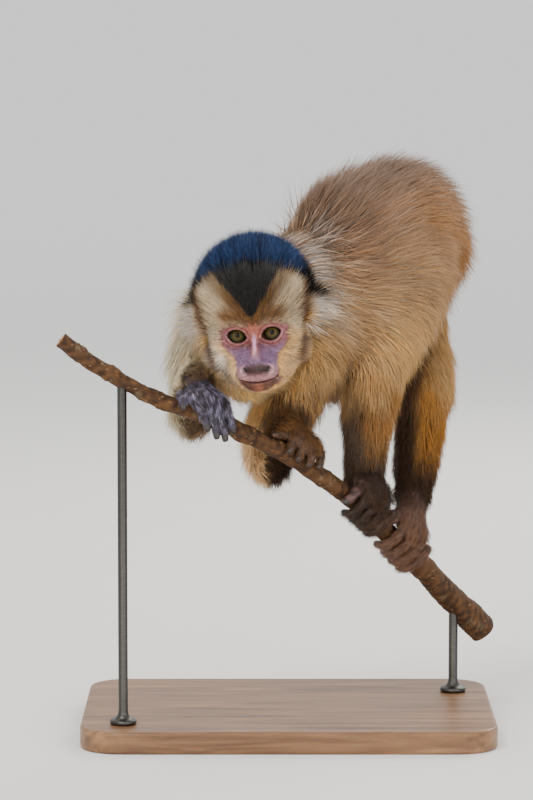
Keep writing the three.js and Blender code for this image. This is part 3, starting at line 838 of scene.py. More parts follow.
def legRightFur(s, _, patchy, p):  # the inner side is dark from the knee up, the outer side golden
    x, z = p[:, 0], p[:, 2]
    low = ramp(s + patchy * 0.6, 0.46, 0.7)
    # the inner side's dark is partly its own fur and partly painted shade where it faces the other leg
    inner = ramp(x - np.interp(z, [225, 250, 270], [0, 8, 12]), 94, 84)
    return painted(fur, "flank", [
        ("thigh", ramp(s, 0.1, 0.34)),
        ("rump", ramp(s, 0.4, 0.1)),
        ("innerThighAndShade", inner * ramp(z, 290, 278)),
        ("shankGold", low * (1 - inner)),
        ("dark", np.maximum(low * inner, ramp(s, 0.74, 0.96)))])


def legLeftFur(s, _, patchy, p):
    low = ramp(s + patchy * 0.6, 0.46, 0.7)
    warm = ramp(p[:, 0], 46, 58) * ramp(s, 0.95, 0.7) * 0.85
    return painted(fur, "flank", [
        ("thigh", ramp(s, 0.1, 0.34)),
        ("belly", bump(s, 0.36, 0.09) * 0.6),
        ("innerThighAndShade", shadeBetweenThighs(p)),
        ("dark", low),
        ("shankGold", low * warm)])


def tailFur(s, *_):
    return painted(fur, "rump", [("tailTop", ramp(s, 0.02, 0.2)), ("tailEnd", ramp(s, 0.5, 0.9))])


chainFurs = {"trunk": trunkFur, "armRight": armRightFur, "armLeft": armLeftFur, "legRight": legRightFur,
             "legLeft": legLeftFur, "tail": tailFur}

faceTones = shades({
    "skin": (148, 91, 77), "bridge": (150, 82, 58), "lids": (134, 72, 66), "underEye": (104, 56, 64),
    "temple": (124, 70, 78), "brow": (112, 66, 60), "wrinkle": (84, 42, 44), "mauve": (122, 92, 120),
    "muzzle": (136, 94, 100), "besideNose": (96, 72, 100), "noseLine": (206, 152, 182), "nose": (46, 18, 14),
    "nostrilRim": (198, 148, 158), "nostril": (24, 10, 10), "lipTop": (160, 110, 110), "lip": (88, 44, 26),
    "lipMiddle": (142, 82, 60), "lipFlecks": (76, 44, 34), "mouth": (54, 26, 24), "lidLine": (48, 24, 22),
    "lidRim": (222, 166, 166),
})


def faceSkin(q):  # the bare face's colours
    h, v = faceMap(q)
    y = q[:, 1]
    almond, ahead, w = almondPlace(oneSide(q))
    near = ramp(ahead, 1, 5)
    blotch = wave(q, 7, 51)
    # painted shade along the creases below the eyes
    wrinkleShade = bump(almond, 3.0, 0.45) + bump(almond, 4.7, 0.45) + 0.7 * bump(almond, 6.4, 0.5)
    rim = np.hypot(h - 7.8, v + 23.8)
    slot = np.hypot((h - 7.3 - 0.4 * (v + 23.5)) / 0.75, (v + 23.5) / 1.4)
    up = aboveMouth(q)
    below = ramp(up, 0, -1.5) * ramp(y, -8, 0)
    # pale lid rims and a pale line along the lower lid's fold: partly the skin's own colour, partly a painted
    # wet highlight
    paleRimsAndGlint = bump(almond, 1.3, 0.4) * (0.35 + 0.65 * ramp(w, 1, -1))
    paleRimsAndGlint = paleRimsAndGlint + 0.35 * bump(almond, 3.9, 0.35) * ramp(w, 0, -2)
    c = painted(faceTones, "skin", [
        ("bridge", bump(h, 0, 6) * ramp(v, -6, 1)),
        ("lids", bump(almond, 2.0, 3.2) * 0.9),
        ("underEye", bump(almond, 5, 2.8) * ramp(w, 1, -3) * 0.8),
        ("temple", ramp(h, 14, 19) * 0.8),
        ("brow", bump(v, 6.5, 2.5) * ramp(h, 4, 8) * 0.6),
        ("wrinkle", np.clip(wrinkleShade, 0, 1) * ramp(w, 0.5, -1.5) * near * 0.5),
        ("mauve", ramp(v + blotch, -6, -12) * np.maximum(ramp(h, 1, 4), ramp(v, -12, -17))),
        ("muzzle", ramp(v, -19, -25)),
        ("besideNose", bump(v, -15, 5) * bump(h, 11, 5) * 0.7),
        # a pale pink line down the bridge: partly the skin's own colour, partly a painted highlight on the
        # ridge
        ("noseLine", bump(h, 0.3, 0.9) * ramp(v, 2, -4) * ramp(v, -17, -11) * 0.8),
        ("nose", bump(v, -23.8, 4.8) * ramp(h, 10, 5) * ramp(y, 6, 10)),
        # pale rims round the nostrils, lightened further with a painted highlight
        ("nostrilRim", bump(rim, 3.0, 0.7) * ramp(h, 6.5, 9) * ramp(y, 6, 10) * 0.85),
        ("nostril", ramp(slot, 2.1, 1.2) * ramp(y, 7, 11)),
        ("lipTop", bump(v, -29, 1.8) * ramp(h, 14, 9) * 0.8),
        ("lip", below),
        ("lipMiddle", below * bump(h, 0, 2.8) * 0.75),
        ("lipFlecks", below * np.clip(0.35 + 0.5 * wave(q, 3, 52), 0, 1) * ramp(h, 2, 6)),
        ("mouth", bump(up, 0, 0.8) * ramp(h, mouth["corner"], 14) * ramp(y, -6, 2)),
        ("lidLine", bump(almond, 0.1, 0.6) * near),
        ("lidRim", np.clip(paleRimsAndGlint, 0, 1) * near * 0.4)])
    speckle = np.clip(wave(q, 1.7, 53) * 0.5 + wave(q, 3.1, 54) * 0.5, -1, 1)
    return c * (1 + 0.34 * speckle)[:, None]


print("measures and shapes ready")


def toolMesh(name, points, faces):
    return makeObject(name, points, faces, bpy.data.materials.new("scratch"))


def thinnedUnderCoat(made, bare, share):  # fewer faces where the coat hides them
    group = made.vertex_groups.new(name="underCoat")
    group.add(np.flatnonzero(~bare).tolist(), 1.0, "REPLACE")
    modifier = made.modifiers.new("thin", "DECIMATE")
    kept = bare.mean()
    modifier.ratio = kept + (1 - kept) * share
    modifier.vertex_group = group.name
    modifier.vertex_group_factor = 0.0
    return bpy.data.meshes.new_from_object(made.evaluated_get(bpy.context.evaluated_depsgraph_get()))


def detailRegion(p):  # where the skin shows fine shape: face, ears, hands and feet
    q = toHead(p)
    face = (q[:, 1] > -22) & (np.abs(q[:, 0]) < 26) & (q[:, 2] < 14) & (q[:, 2] > -44)
    ears = (np.abs(q[:, 0]) > 27) & (np.abs(q[:, 1] + 46) < 12) & (np.abs(q[:, 2] + 9) < 14)
    grip = np.zeros(len(p), bool)
    for g in gripShapes.values():
        spots = np.vstack([d["line"] for d in g["digits"]] + [g["centre"]])
        grip |= np.linalg.norm(p - spots[nearest(spots, p)], axis=1) < 12
    return face | ears | grip


def splitNear(mesh, chosen):  # one more level of faces where it is wanted
    bm = bmesh.new()
    bm.from_mesh(mesh)
    points, _ = meshArrays(mesh)
    wanted = chosen(points)
    edges = [e for e in bm.edges if wanted[e.verts[0].index] and wanted[e.verts[1].index]]
    bmesh.ops.subdivide_edges(bm, edges=edges, cuts=1, use_grid_fill=True)
    bmesh.ops.triangulate(bm, faces=bm.faces)
    bm.to_mesh(mesh)
    bm.free()


def relaxed(points, triangles, amount):
    edges = np.vstack([triangles[:, [0, 1]], triangles[:, [1, 2]], triangles[:, [2, 0]]])
    count = np.bincount(edges[:, 0], minlength=len(points)).clip(1)
    mean = [np.bincount(edges[:, 0], points[edges[:, 1], k], len(points)) / count for k in range(3)]
    return points + (np.column_stack(mean) - points) * amount


def eyesNoseAndMouth(p):
    q = toHead(p)
    h, v = faceMap(q)
    return (h < 19) & (v > -38) & (v < 8) & (q[:, 1] > -12)


def buildSkin(s):
    field, low = skinGrid(s)
    print("skin: distances worked out")
    points, quads = surfaceNet(field, low, s["step"])
    points = ontoSurface(skinDistance, points)
    made = toolMesh("skinNet", points, [quads])
    mesh = thinnedUnderCoat(made, detailRegion(points), s["underCoatShare"])
    bpy.data.objects.remove(made)
    print("skin: thinned under the coat to", len(mesh.polygons), "faces")
    splitNear(mesh, eyesNoseAndMouth)
    points, triangles = meshArrays(mesh)
    for _ in range(s["relax"]):
        points = ontoSurface(skinDistance, relaxed(points, triangles, 0.35))
    slope, d = slopeAt(skinDistance, points)
    print("skin:", len(triangles), "triangles")
    return points - wayToSurface(slope, d), triangles, unit(slope)


# How far each part's coat runs over into its neighbours'.
partSoftness = {"trunk": 14, "armLeft": 6, "armRight": 6, "legLeft": 14, "legRight": 12, "tail": 4, "head": 3}
headPull = 1.5  # the head keeps rather more of the ground that it shares
leastShare = 0.02


def partShares(p):
    every = partDistances(p)
    soft = np.array([partSoftness.get(name, 2.5) for name in partNames])
    soft = np.minimum(soft[every.argmin(1)][:, None], soft[None])
    share = np.exp(-(every - every.min(1, keepdims=True)) / soft)
    share[:, headPart] *= headPull
    return share / share.sum(1, keepdims=True)


def eachPart(p, share):  # every part with the points that it has a share in
    for k, name in enumerate(partNames):
        rows = np.flatnonzero(share[:, k] > leastShare)
        if len(rows):
            yield k, name, rows, p[rows], share[rows, k]


def digitPlaces(g, p):  # nearest place on the digits: its direction, distance, way to the tip, and digit
    spots = np.vstack([d["line"] for d in g["digits"]])
    i = nearest(spots, p)
    ways = np.vstack([d["along"] for d in g["digits"]])[i]
    which = np.concatenate([np.full(len(d["line"]), k) for k, d in enumerate(g["digits"])])[i]
    return ways, np.linalg.norm(p - spots[i], axis=1), np.concatenate([d["s"] for d in g["digits"]])[i], which


def roundTurn(x, y):  # from 0 to 1 once round
    return np.arctan2(x, y) / (2 * np.pi) + 0.5


def roundChain(chain, p):  # index, way along, and place across and over the section
    i, along, r = onChain(chain, p)
    x, y = (dot(r, chain[way][i]) / chain[size][i] for way, size in (("across", "wide"), ("over", "tall")))
    return i, along, x, y


elbows = {"armLeft": 0.6, "armRight": 0.51}  # how far down each arm its elbow is; hair hangs from it


# The lie of the hair, the coat's depth, and the place on the part's own map.
def headLie(p):
    q = toHead(p)
    v = faceMap(q)[1]
    ruff = sideRuff(q)
    droop = np.column_stack([np.sign(q[:, 0]) * 0.8, np.zeros(len(q)), np.full(len(q), -0.5)])
    way = unit(q - np.array([0, 2, -6])) @ headTurn.T
    way = unit(way + ruff[:, None] * (droop @ headTurn.T))
    deep = 1.8 + 6.2 * ramp(fromFace(q), -1, 13) * (1 - 0.22 * ramp(v, 22, 40)) + 3 * ramp(v, -34, -42)
    x, y, z = (q - np.array([0, -27, -6])).T
    where = [np.arctan2(np.hypot(x, z), y) / np.pi, roundTurn(x, -z)]
    return way, deep * (1 - 0.45 * earMask(q)) + 5.5 * ruff, np.column_stack(where)


def gripLie(name, p):
    g = gripShapes[name]
    ways, far = digitPlaces(g, p)[:2]
    close = ramp(far, 9, 4)[:, None]
    way = unit(ways * close + unit(g["centre"] - g["wrist"]) * (1 - close))
    deep = (2.3 if name.startswith("foot") else 1.6) + 1.8 * (1 - close[:, 0])
    r = (p - g["centre"]) @ g["axes"]
    return way, deep, np.column_stack([0.5 + r[:, 0] / 60, roundTurn(r[:, 1], r[:, 2])])


def chainLie(name, p):
    chain = chains[name]
    i, along, x, y = roundChain(chain, p)
    sag = {"trunk": 0.3, "tail": 0.1}.get(name, 0.4)
    sag = sag + 0.6 * (name in elbows) * bump(along, elbows.get(name, 0), 0.17)
    way = chain["lie"][i] - np.outer(sag, (0, 0, 1))
    return way, np.interp(along, chain["s"], chain["coat"]), np.column_stack([along, roundTurn(x, y)])


def lieAt(p):  # the lie and depth of the coat, its main part, and its place on that part's own map
    share = partShares(p)
    owner = share.argmax(1)
    flow, depth, place = np.zeros((len(p), 3)), np.zeros(len(p)), np.zeros((len(p), 2))
    for k, name, rows, at, weight in eachPart(p, share):
        if name == "head":
            way, deep, where = headLie(at)
        elif name in gripShapes:
            way, deep, where = gripLie(name, at)
        else:
            way, deep, where = chainLie(name, at)
        flow[rows] += unit(way) * weight[:, None]
        depth[rows] += deep * weight
        mine = owner[rows] == k
        place[rows[mine]] = where[mine]
    return {"flow": unit(flow), "depth": depth, "owner": owner, "place": place}


def gripFur(name, p):
    g = gripShapes[name]
    way = g["centre"] - g["wrist"]
    t = (p - g["wrist"]) @ way / dot(way, way)
    if name != "handRight":
        return painted(fur, {"handLeft": "handBrown"}.get(name, name), [
            ("dark", ramp(t, 1.2, 0.1) * name.startswith("foot"))])
    # brown at the wrist, and over the dark knuckles streaks of painted silver-blue sheen
    streaks = np.clip(0.26 + 1.0 * wave(p, 5, 41) + 0.5 * wave(p, 2.2, 42), 0, 1)
    return painted(fur, "armCream", [
        ("handBrown", ramp(t, -0.15, 0.15)), ("handDark", ramp(t, 0.2, 0.6)),
        ("hand", streaks * ramp(t, 0.4, 0.9))])


def coatColours(p):  # colours of the hair's root and tip at every point
    colour = np.zeros((len(p), 2, 3))
    for _, name, rows, at, weight in eachPart(p, partShares(p)):
        if name == "head":
            tone = headFur(toHead(at))
        elif name in gripShapes:
            tone = gripFur(name, at)
        else:
            _, along, x, y = roundChain(chains[name], at)
            tone = chainFurs[name](along, y / np.hypot(x, y).clip(1e-6), wave(at, 26, 11) * 0.12, at)
        colour[rows] += tone * weight[:, None, None]
    return colour


# Skin of the hands and feet, at its darkest and lightest, and tones of the skin elsewhere.
gripSkin = {"handRight": ((40, 36, 46), (92, 84, 102)), "handLeft": ((48, 33, 25), (96, 68, 52)),
            "footLeft": ((34, 21, 14), (70, 47, 38)), "footRight": ((58, 40, 33), (122, 92, 80))}
bareTones = shades({"underCoat": (134, 98, 86), "ear": (138, 98, 104), "bigToe": (112, 76, 74)})
bigToe = 4  # its place among the digits


def gripTint(name, p):  # painted shade in the creases between the digits
    g = gripShapes[name]
    level = 0.5 + 0.5 * np.clip(wave(p, 5, 21), -1, 1)
    dark, light = gripSkin[name]
    tones = {"dark": shade(*dark), "light": shade(*light), **bareTones}
    every = np.sort(np.stack([chainDistance(digit, p) for digit in g["digits"]], 1), 1)
    creaseShade = ramp(every[:, 1] - every[:, 0], 1.5, 0.2) * ramp(every[:, 1], 3, 1)
    onBigToe = (digitPlaces(g, p)[3] == bigToe) * name.startswith("foot")
    colour = painted(tones, "dark", [("light", level * 0.8), ("bigToe", onBigToe * level * 0.6)])
    return colour * (1 - 0.72 * creaseShade)[:, None]


def skinTint(p, owner):  # the skin's colour: near the coat's own under it, or bare skin
    pair = coatColours(p)
    tint = pair[:, 0] * 0.65 + pair[:, 1] * 0.12
    head = owner == headPart
    q = toHead(p)[head]
    tint[head] = mixColour(tint[head], bareTones["underCoat"], ramp(fromFace(q), 7, 1) * 0.6)
    tint[head] = mixColour(tint[head], faceSkin(q), bareFace(q))
    tint[head] = mixColour(tint[head], bareTones["ear"], earMask(q))
    for name in gripSkin:
        rows = owner == partNames.index(name)
        tint[rows] = gripTint(name, p[rows])
    return tint


skinPoints, skinTriangles, skinNormals = buildSkin(skinSettings)
skinOwner = partShares(skinPoints).argmax(1)
skin = makeObject("skin", skinPoints, [skinTriangles], skinMaterial(),
                  colours=skinTint(skinPoints, skinOwner))
fleshNodes = [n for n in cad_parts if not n.startswith(("stand_", "perch", "eye_"))]
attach(skin, "root")
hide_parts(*fleshNodes)
print("skin made")


def bareness(p, owner):  # how bare of coat a place is, from 0 to 1
    q = toHead(p)
    head = owner == headPart
    almond = almondPlace(oneSide(q))[0]
    h, v = faceMap(q)
    # a few hairs run down over the brow and across the temples
    sparse = 1 - np.maximum(0.25 * ramp(v, 3, 7), 0.22 * ramp(h, 19.5, 24)) * ramp(almond, 2.6, 3.6)
    bare = np.where(head, np.maximum(bareFace(q) * sparse, earMask(q) * 0.5), 0)
    for name, g in gripShapes.items():
        rows = np.flatnonzero(owner == partNames.index(name))
        _, far, end, which = digitPlaces(g, p[rows])
        sole = ramp(barkDistance(p[rows]), 4.5, 2.0)
        tip = ramp(end, 0.5, 0.75) if name == "handRight" else ramp(end, 0.8, 0.96)
        tip = np.where(name.startswith("foot") & (which == bigToe), ramp(end, 0.3, 0.55), tip)
        bare[rows] = np.maximum(sole, np.where(far < 4.5, 0.12 + 0.88 * tip, 0))
    return bare


# Tapered three-sided tufts: each runs from its root along the lie, bends over and ends in a point.
def growTufts(root, normal, flow, s, length, depth, rng):
    n = len(root)
    rings = np.array(s["rings"])
    flow = unit(flow - normal * dot(flow, normal)[:, None])
    side = np.cross(flow, normal)
    lean = wave(root, s["lockSize"], s["seed"] + 1) * s["swirl"] + rng.normal(0, s["stray"], n)
    flow = unit(flow + side * lean[:, None])
    side = np.cross(flow, normal)
    rise = depth * rng.uniform(*s["rise"], n)
    run = np.sqrt(np.maximum(length**2 - rise**2, (0.4 * length) ** 2))
    curl = rng.normal(0, s["curl"], n) * length
    spines = []
    for f in [*rings, 1.0]:
        up = rise * (1 - (1 - f) ** 1.8) - (s["sink"] if f == 0 else 0)
        ahead = flow * (run * f**1.1)[:, None]
        spines.append(root + ahead + normal * up[:, None] + side * (curl * f**2)[:, None])
    spines = np.stack(spines, 1)
    width = s["width"] * rng.uniform(0.7, 1.25, n) / 2
    points = np.empty((n, 3 * len(rings) + 1, 3))
    for k, f in enumerate(rings):
        ahead = unit(spines[:, k + 1] - spines[:, max(k - 1, 0)])
        across = unit(np.cross(ahead, normal))
        top = np.cross(across, ahead)
        w = (width * np.interp(f, [0, 0.35, 1], [0.85, 1, 0.25]))[:, None]
        for j, (a, b) in enumerate(((-1, -0.2), (1, -0.2), (0, 0.5))):
            points[:, 3 * k + j] = spines[:, k] + across * w * a + top * w * b
    points[:, -1] = spines[:, -1]
    faces = [[0, 1, 2]]
    for k in range(len(rings) - 1):
        for j in range(3):
            a, b = 3 * k + j, 3 * k + (j + 1) % 3
            faces += [[a, a + 3, b], [b, a + 3, b + 3]]
    last = 3 * (len(rings) - 1)
    faces += [[last + j, 3 * len(rings), last + (j + 1) % 3] for j in range(3)]
    return points, np.array(faces)


def pickRoots(s, count, rng):  # evenly spread roots on the piece's own stretch of skin
    wanted = np.zeros(len(triangleCentres), bool)
    for part, low, high in s["parts"]:
        mine = triangleLie["owner"] == partNames.index(part)
        wanted |= mine & (triangleLie["place"][:, 0] >= low) & (triangleLie["place"][:, 0] < high)
    total = np.cumsum(triangleShare * wanted)
    pick = (np.arange(count) + rng.random(count)) / count * total[-1]
    chosen = skinTriangles[np.minimum(np.searchsorted(total, pick), len(total) - 1)]
    a, b = rng.random((2, count))
    a, b = np.where(a + b > 1, 1 - a, a), np.where(a + b > 1, 1 - b, b)
    shares = np.stack([1 - a - b, a, b], 1)[:, :, None]
    return (skinPoints[chosen] * shares).sum(1), unit((skinNormals[chosen] * shares).sum(1))


patchSize = 0.003  # of a tuft's own place on the bake map


def bakeMap(s, lie, rings):  # a small patch for each tuft at its root's place on the skin's own map
    blocks = [partNames.index(part) for part, _, _ in s["parts"]]
    block = np.array([blocks.index(o) if o in blocks else 0 for o in lie["owner"]])
    _, low, high = s["parts"][0]
    u = np.clip((lie["place"][:, 0] - low) / (high - low), 0, 1)
    w = (block + np.clip(lie["place"][:, 1], 0, 1)) / len(blocks)
    alongPatch = np.append(np.repeat(rings, 3), 1.0) - 0.5
    acrossPatch = np.append(np.tile([-0.5, 0, 0.5], len(rings)), 0)
    return np.stack([patchSize + side[:, None] * (1 - 2 * patchSize) + onPatch * patchSize
                     for side, onPatch in ((u, alongPatch), (w, acrossPatch))], -1)


def coatLayer(s, rng):
    n = s["count"]
    root, normal = pickRoots(s, n, rng)
    lie = lieAt(root)
    depth = lie["depth"]
    length = depth * s["reach"] * np.clip(rng.normal(1, 0.18, n), 0.5, 1.4)
    points, faces = growTufts(root, normal, lie["flow"], s, length, depth, rng)
    tone = coatColours(points[:, -1] * 0.5 + points[:, 0] * 0.5)
    around = np.where(lie["owner"] == 0, 400, 200)  # the trunk is twice as far round as the limbs
    drawn = np.column_stack([lie["place"][:, 0] * around / 20, lie["place"][:, 1] * around, np.zeros(n)])
    level = 1 + rng.normal(0, s["varied"], n) + 0.09 * wave(root, 14, 31) + 0.08 * wave(root, 5, 32)
    level += s["streaky"] * wave(drawn, 5, 33)  # streaks drawn out along the hair
    warm = rng.normal(0, 0.07, n)
    levels = np.clip(level, 0.4, 1.8)[:, None] * (1 + np.outer(warm, [1, 0, -1.4]))
    colours = np.empty((n, points.shape[1], 3))
    for ring, f in enumerate([*s["rings"], 1.0]):
        here = mixColour(tone[:, 0], tone[:, 1], np.full(n, np.interp(f, *s["lighten"]))) * levels
        colours[:, 3 * ring:3 * ring + 3] = here[:, None]
    index = (np.arange(n) * points.shape[1])[:, None, None] + faces
    return points.reshape(-1, 3), index.reshape(-1, 3), colours.reshape(-1, 3), bakeMap(
        s, lie, s["rings"]).reshape(-1, 2)


def coatPiece(name, s, material):  # bent tufts below, and thin straight ones between them
    rng = np.random.default_rng(s["seed"])
    layers = [coatLayer(s, rng), coatLayer({**s, **s["fine"]}, rng)]
    points, faces, colours, uv = ([layer[k] for layer in layers] for k in range(4))
    faces[1] = faces[1] + len(points[0])
    made = makeObject(name, np.vstack(points), [np.vstack(faces)], material,
                      colours=np.vstack(colours), uv=np.vstack(uv))
    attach(made, "root")
    print(name, len(made.data.polygons), "triangles")


def fine(count, width):
    return {"rings": (0,), "count": count, "width": width, "stray": 0.18, "rise": (0.3, 1.3), "varied": 0.24,
            "lighten": ((0, 1), (0.4, 1.0))}


body = {"rings": (0, 0.42), "width": 0.72, "lockSize": 18, "swirl": 0.16, "stray": 0.07, "rise": (0.4, 1.1),
        "curl": 0.045, "sink": 1.0, "reach": 2.7, "varied": 0.16, "streaky": 0.13,
        "slot": "coat_flank", "lighten": ((0, 0.42, 1), (0.1, 0.55, 1.0))}
limb = {**body, "width": 0.62, "lockSize": 10, "reach": 2.3}
coatSettings = {
    "coat_crown": {**limb, "parts": [("head", 0.36, 1.01)], "count": 9000, "seed": 101, "width": 0.5,
                   "reach": 1.5, "swirl": 0.1, "stray": 0.12, "rise": (0.7, 1.25), "varied": 0.34,
                   "slot": "face",
                   "fine": {**fine(20000, 0.34), "varied": 0.4, "rise": (0.6, 1.8), "stray": 0.3}},
    "coat_face": {**limb, "parts": [("head", 0.0, 0.36)], "count": 8500, "seed": 102, "width": 0.5,
                  "reach": 2.25, "swirl": 0.14, "stray": 0.1, "sink": 0.5, "varied": 0.32, "streaky": 0.16,
                  "slot": "face", "fine": {**fine(22000, 0.3), "varied": 0.34}},
    "coat_shoulders": {**body, "parts": [("trunk", 0.0, 0.4)], "count": 10500, "seed": 103,
                       "fine": fine(16000, 0.42)},
    "coat_flanks": {**body, "parts": [("trunk", 0.4, 0.68)], "count": 10500, "seed": 104,
                    "fine": fine(16000, 0.42)},
    "coat_rump": {**body, "parts": [("trunk", 0.68, 1.01)], "count": 10500, "seed": 105,
                  "fine": fine(16000, 0.42)},
    "coat_arms": {**limb, "parts": [("armLeft", 0.0, 1.01), ("armRight", 0.0, 1.01)], "count": 10000,
                  "rise": (0.5, 1.15), "reach": 2.6, "stray": 0.11, "seed": 106, "slot": "coat_pale",
                  "fine": fine(14000, 0.36)},
    "coat_thighs": {**body, "parts": [("legLeft", 0.0, 0.54), ("legRight", 0.0, 0.54)], "count": 10500,
                    "seed": 107, "fine": fine(13000, 0.4)},
    "coat_shanks": {**limb, "parts": [("legLeft", 0.54, 1.01), ("legRight", 0.54, 1.01)], "count": 8500,
                    "seed": 108, "slot": "coat_dark", "fine": fine(9000, 0.36)},
    "coat_hands": {**limb, "parts": [(name, 0.0, 1.01) for name in gripShapes], "count": 3500, "seed": 109,
                   "width": 0.4, "reach": 2.6, "sink": 0.3, "rise": (0.2, 0.7), "varied": 0.3,
                   "slot": "coat_dark", "fine": {**fine(14000, 0.26), "rise": (0.15, 0.6)}},
    "coat_tail": {**body, "parts": [("tail", 0.0, 1.01)], "count": 7500, "seed": 110, "slot": "coat_dark",
                  "fine": fine(8000, 0.4)},
}

first, second, third = skinPoints[skinTriangles].transpose(1, 0, 2)
triangleCentres = skinPoints[skinTriangles].mean(1)
triangleLie = lieAt(triangleCentres)
triangleShare = np.linalg.norm(np.cross(second - first, third - first), axis=1)  # by area
triangleShare *= 1 - bareness(triangleCentres, triangleLie["owner"])
triangleShare *= np.clip(6 / triangleLie["depth"], 0.6, 2.4)  # short hair grows closer
furFinish = coatMaterial("coatFur", 0.26, 0.1)
capFinish = coatMaterial("capFur", 0.04, 0.0)
for name, settings in coatSettings.items():
    coatPiece(name, settings, capFinish if name == "coat_crown" else furFinish)
print("coat grown")


def turnOutwards(made):
    bm = bmesh.new()
    bm.from_mesh(made.data)
    bmesh.ops.recalc_face_normals(bm, faces=bm.faces)
    bm.to_mesh(made.data)
    bm.free()


def joined(shapes):  # several (points, faces) as one
    points, faces, start = [], [], 0
    for shapePoints, shapeFaces in shapes:
        points.append(shapePoints)
        faces += [f + start for f in shapeFaces]
        start += len(shapePoints)
    return np.vstack(points), faces


# Whiskers and lashes are single tufts from chosen roots.
whiskerSettings = {"rings": (0, 0.3, 0.65), "lockSize": 9, "swirl": 0.1, "stray": 0.12, "rise": (0.5, 1.0),
                   "curl": 0.08, "sink": 0.3, "width": 0.16, "seed": 120}
whiskerKinds = {  # how many, how long and how high, which way in the head's own frame, and their colour
    "lip": {"count": 18, "length": 12, "height": 5, "way": (0.9, 0.2, -0.35), "colour": (196, 172, 150)},
    "chin": {"count": 9, "length": 7, "height": 3, "way": (0.9, 0.2, -0.35), "colour": (206, 176, 140)},
    "lids": {"count": 36, "length": 3.0, "height": 1.6, "way": (0.25, 0.6, 0.8), "colour": (34, 22, 18)},
}


def whiskerGround(q):  # where each kind grows
    h, v = faceMap(q)
    almond, ahead, w = almondPlace(oneSide(q))
    return {"lip": (np.abs(v + 26) < 3.5) & (h > 5) & (h < 14) & (q[:, 1] > 4),
            "chin": (v < -34) & (h < 8) & (q[:, 1] > 0),
            "lids": (np.abs(almond - 0.6) < 0.4) & (w > 1.0) & (ahead > 3)}


def makeWhiskers(s):
    rng = np.random.default_rng(s["seed"])
    q = toHead(skinPoints)
    ground = whiskerGround(q)
    shapes, colours = [], []
    for name, kind in whiskerKinds.items():
        rows = np.flatnonzero(ground[name])
        rows = rng.choice(rows, min(kind["count"], len(rows)), replace=False)
        outward = np.tile(kind["way"], (len(rows), 1))
        outward[:, 0] *= np.sign(q[rows, 0])
        lengths = kind["length"] * rng.uniform(0.6, 1.1, len(rows))
        points, faces = growTufts(skinPoints[rows], skinNormals[rows], unit(outward) @ headTurn.T, s, lengths,
                                  np.full(len(rows), kind["height"]), rng)
        index = (np.arange(len(rows)) * points.shape[1])[:, None, None] + faces
        shapes.append((points.reshape(-1, 3), [index.reshape(-1, 3)]))
        colours.append(np.repeat(shade(*kind["colour"])[None], points.shape[0] * points.shape[1], 0))
    points, faces = joined(shapes)
    made = makeObject("whiskers", points, [np.vstack(faces)], furFinish, colours=np.vstack(colours))
    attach(made, "root")


makeWhiskers(whiskerSettings)
print("whiskers and lashes made")

eyeSettings = {"cornea": 0.75, "iris": 5.7, "pupil": 1.25, "rings": 72, "around": 96, "irisTurn": 0.75}


def eyeMaterial():
    material, tree, place = startMaterial("eyeSurface")
    return finishMaterial(material, {
        "Base Color": tintedColour(tree, addNoise(tree, place, 2600, 3.0), 0.14), "Roughness": 0.06,
        "Specular IOR Level": 0.13, "Coat Weight": 0.03, "Coat Roughness": 0.02})


irisTones = shades({"spokes": (58, 50, 25), "gold": (92, 76, 34), "outer": (46, 44, 24), "rim": (20, 10, 8),
                    "white": (96, 56, 50), "pupil": (4, 4, 4)})


def turnsRound(count):
    return np.arange(count) / count * 2 * np.pi


def irisColours(r, s, spokes, around):
    tint = irisTones["spokes"] * spokes[:, None] ** ramp(r, 1.2, 3)
    tint = mixColour(tint, irisTones["gold"], bump(r, 2.5, 0.6) * 0.5)
    tint = mixColour(tint, irisTones["outer"], ramp(r, 2.8, 4.4))
    # shaded under the upper lid
    tint = tint * (1 - 0.6 * np.clip(np.sin(around), 0, 1) * ramp(r, 1.5, 4.5))[:, None]
    tint = mixColour(tint, irisTones["rim"], ramp(r, s["iris"] - 1.1, s["iris"] - 0.4))
    tint = mixColour(tint, irisTones["white"], ramp(r, s["iris"] + 0.1, s["iris"] + 1.0))
    return mixColour(tint, irisTones["pupil"], ramp(r, s["pupil"] + 0.3, s["pupil"] - 0.1))


def makeEye(side, name, s, material):
    centre = fromHead(np.array(eyeball["at"]) * (side, 1, 1))
    toCamera = unit(cameraPlace - centre)
    across = unit(np.cross(toCamera, (0, 0, 1)))
    over = np.cross(across, toCamera)
    # close rings over the iris, wider ones behind
    front = s["irisTurn"]
    turns = np.concatenate([np.linspace(0, front, s["rings"] * 2 // 3, endpoint=False)[1:],
                            np.linspace(front, np.pi, s["rings"] // 3)[:-1]])
    spokes = np.repeat(np.random.default_rng(7).uniform(0.6, 1.35, s["around"] // 2), 2)
    around = turnsRound(s["around"])
    circle = np.cos(around)[:, None] * across + np.sin(around)[:, None] * over
    rings, tints = [], []
    for turn in turns:
        reach = eyeball["radius"] + s["cornea"] * ramp(turn, front, 0.0)
        rings.append(centre + reach * (np.cos(turn) * toCamera + np.sin(turn) * circle))
        tints.append(irisColours(turn * eyeball["radius"], s, spokes, around))
    points, faces = loft(rings)
    made = makeObject(name + "_ball", points, faces, material, colours=np.vstack(tints))
    turnOutwards(made)
    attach(made, "root")
    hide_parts(name)


eyeFinish = eyeMaterial()
makeEye(-1, "eye_left", eyeSettings, eyeFinish)
makeEye(1, "eye_right", eyeSettings, eyeFinish)
print("eyes made")

nailSettings = {"length": 4.6, "back": 2.6, "thick": 0.55, "wrap": 62, "rows": 9, "columns": 11}


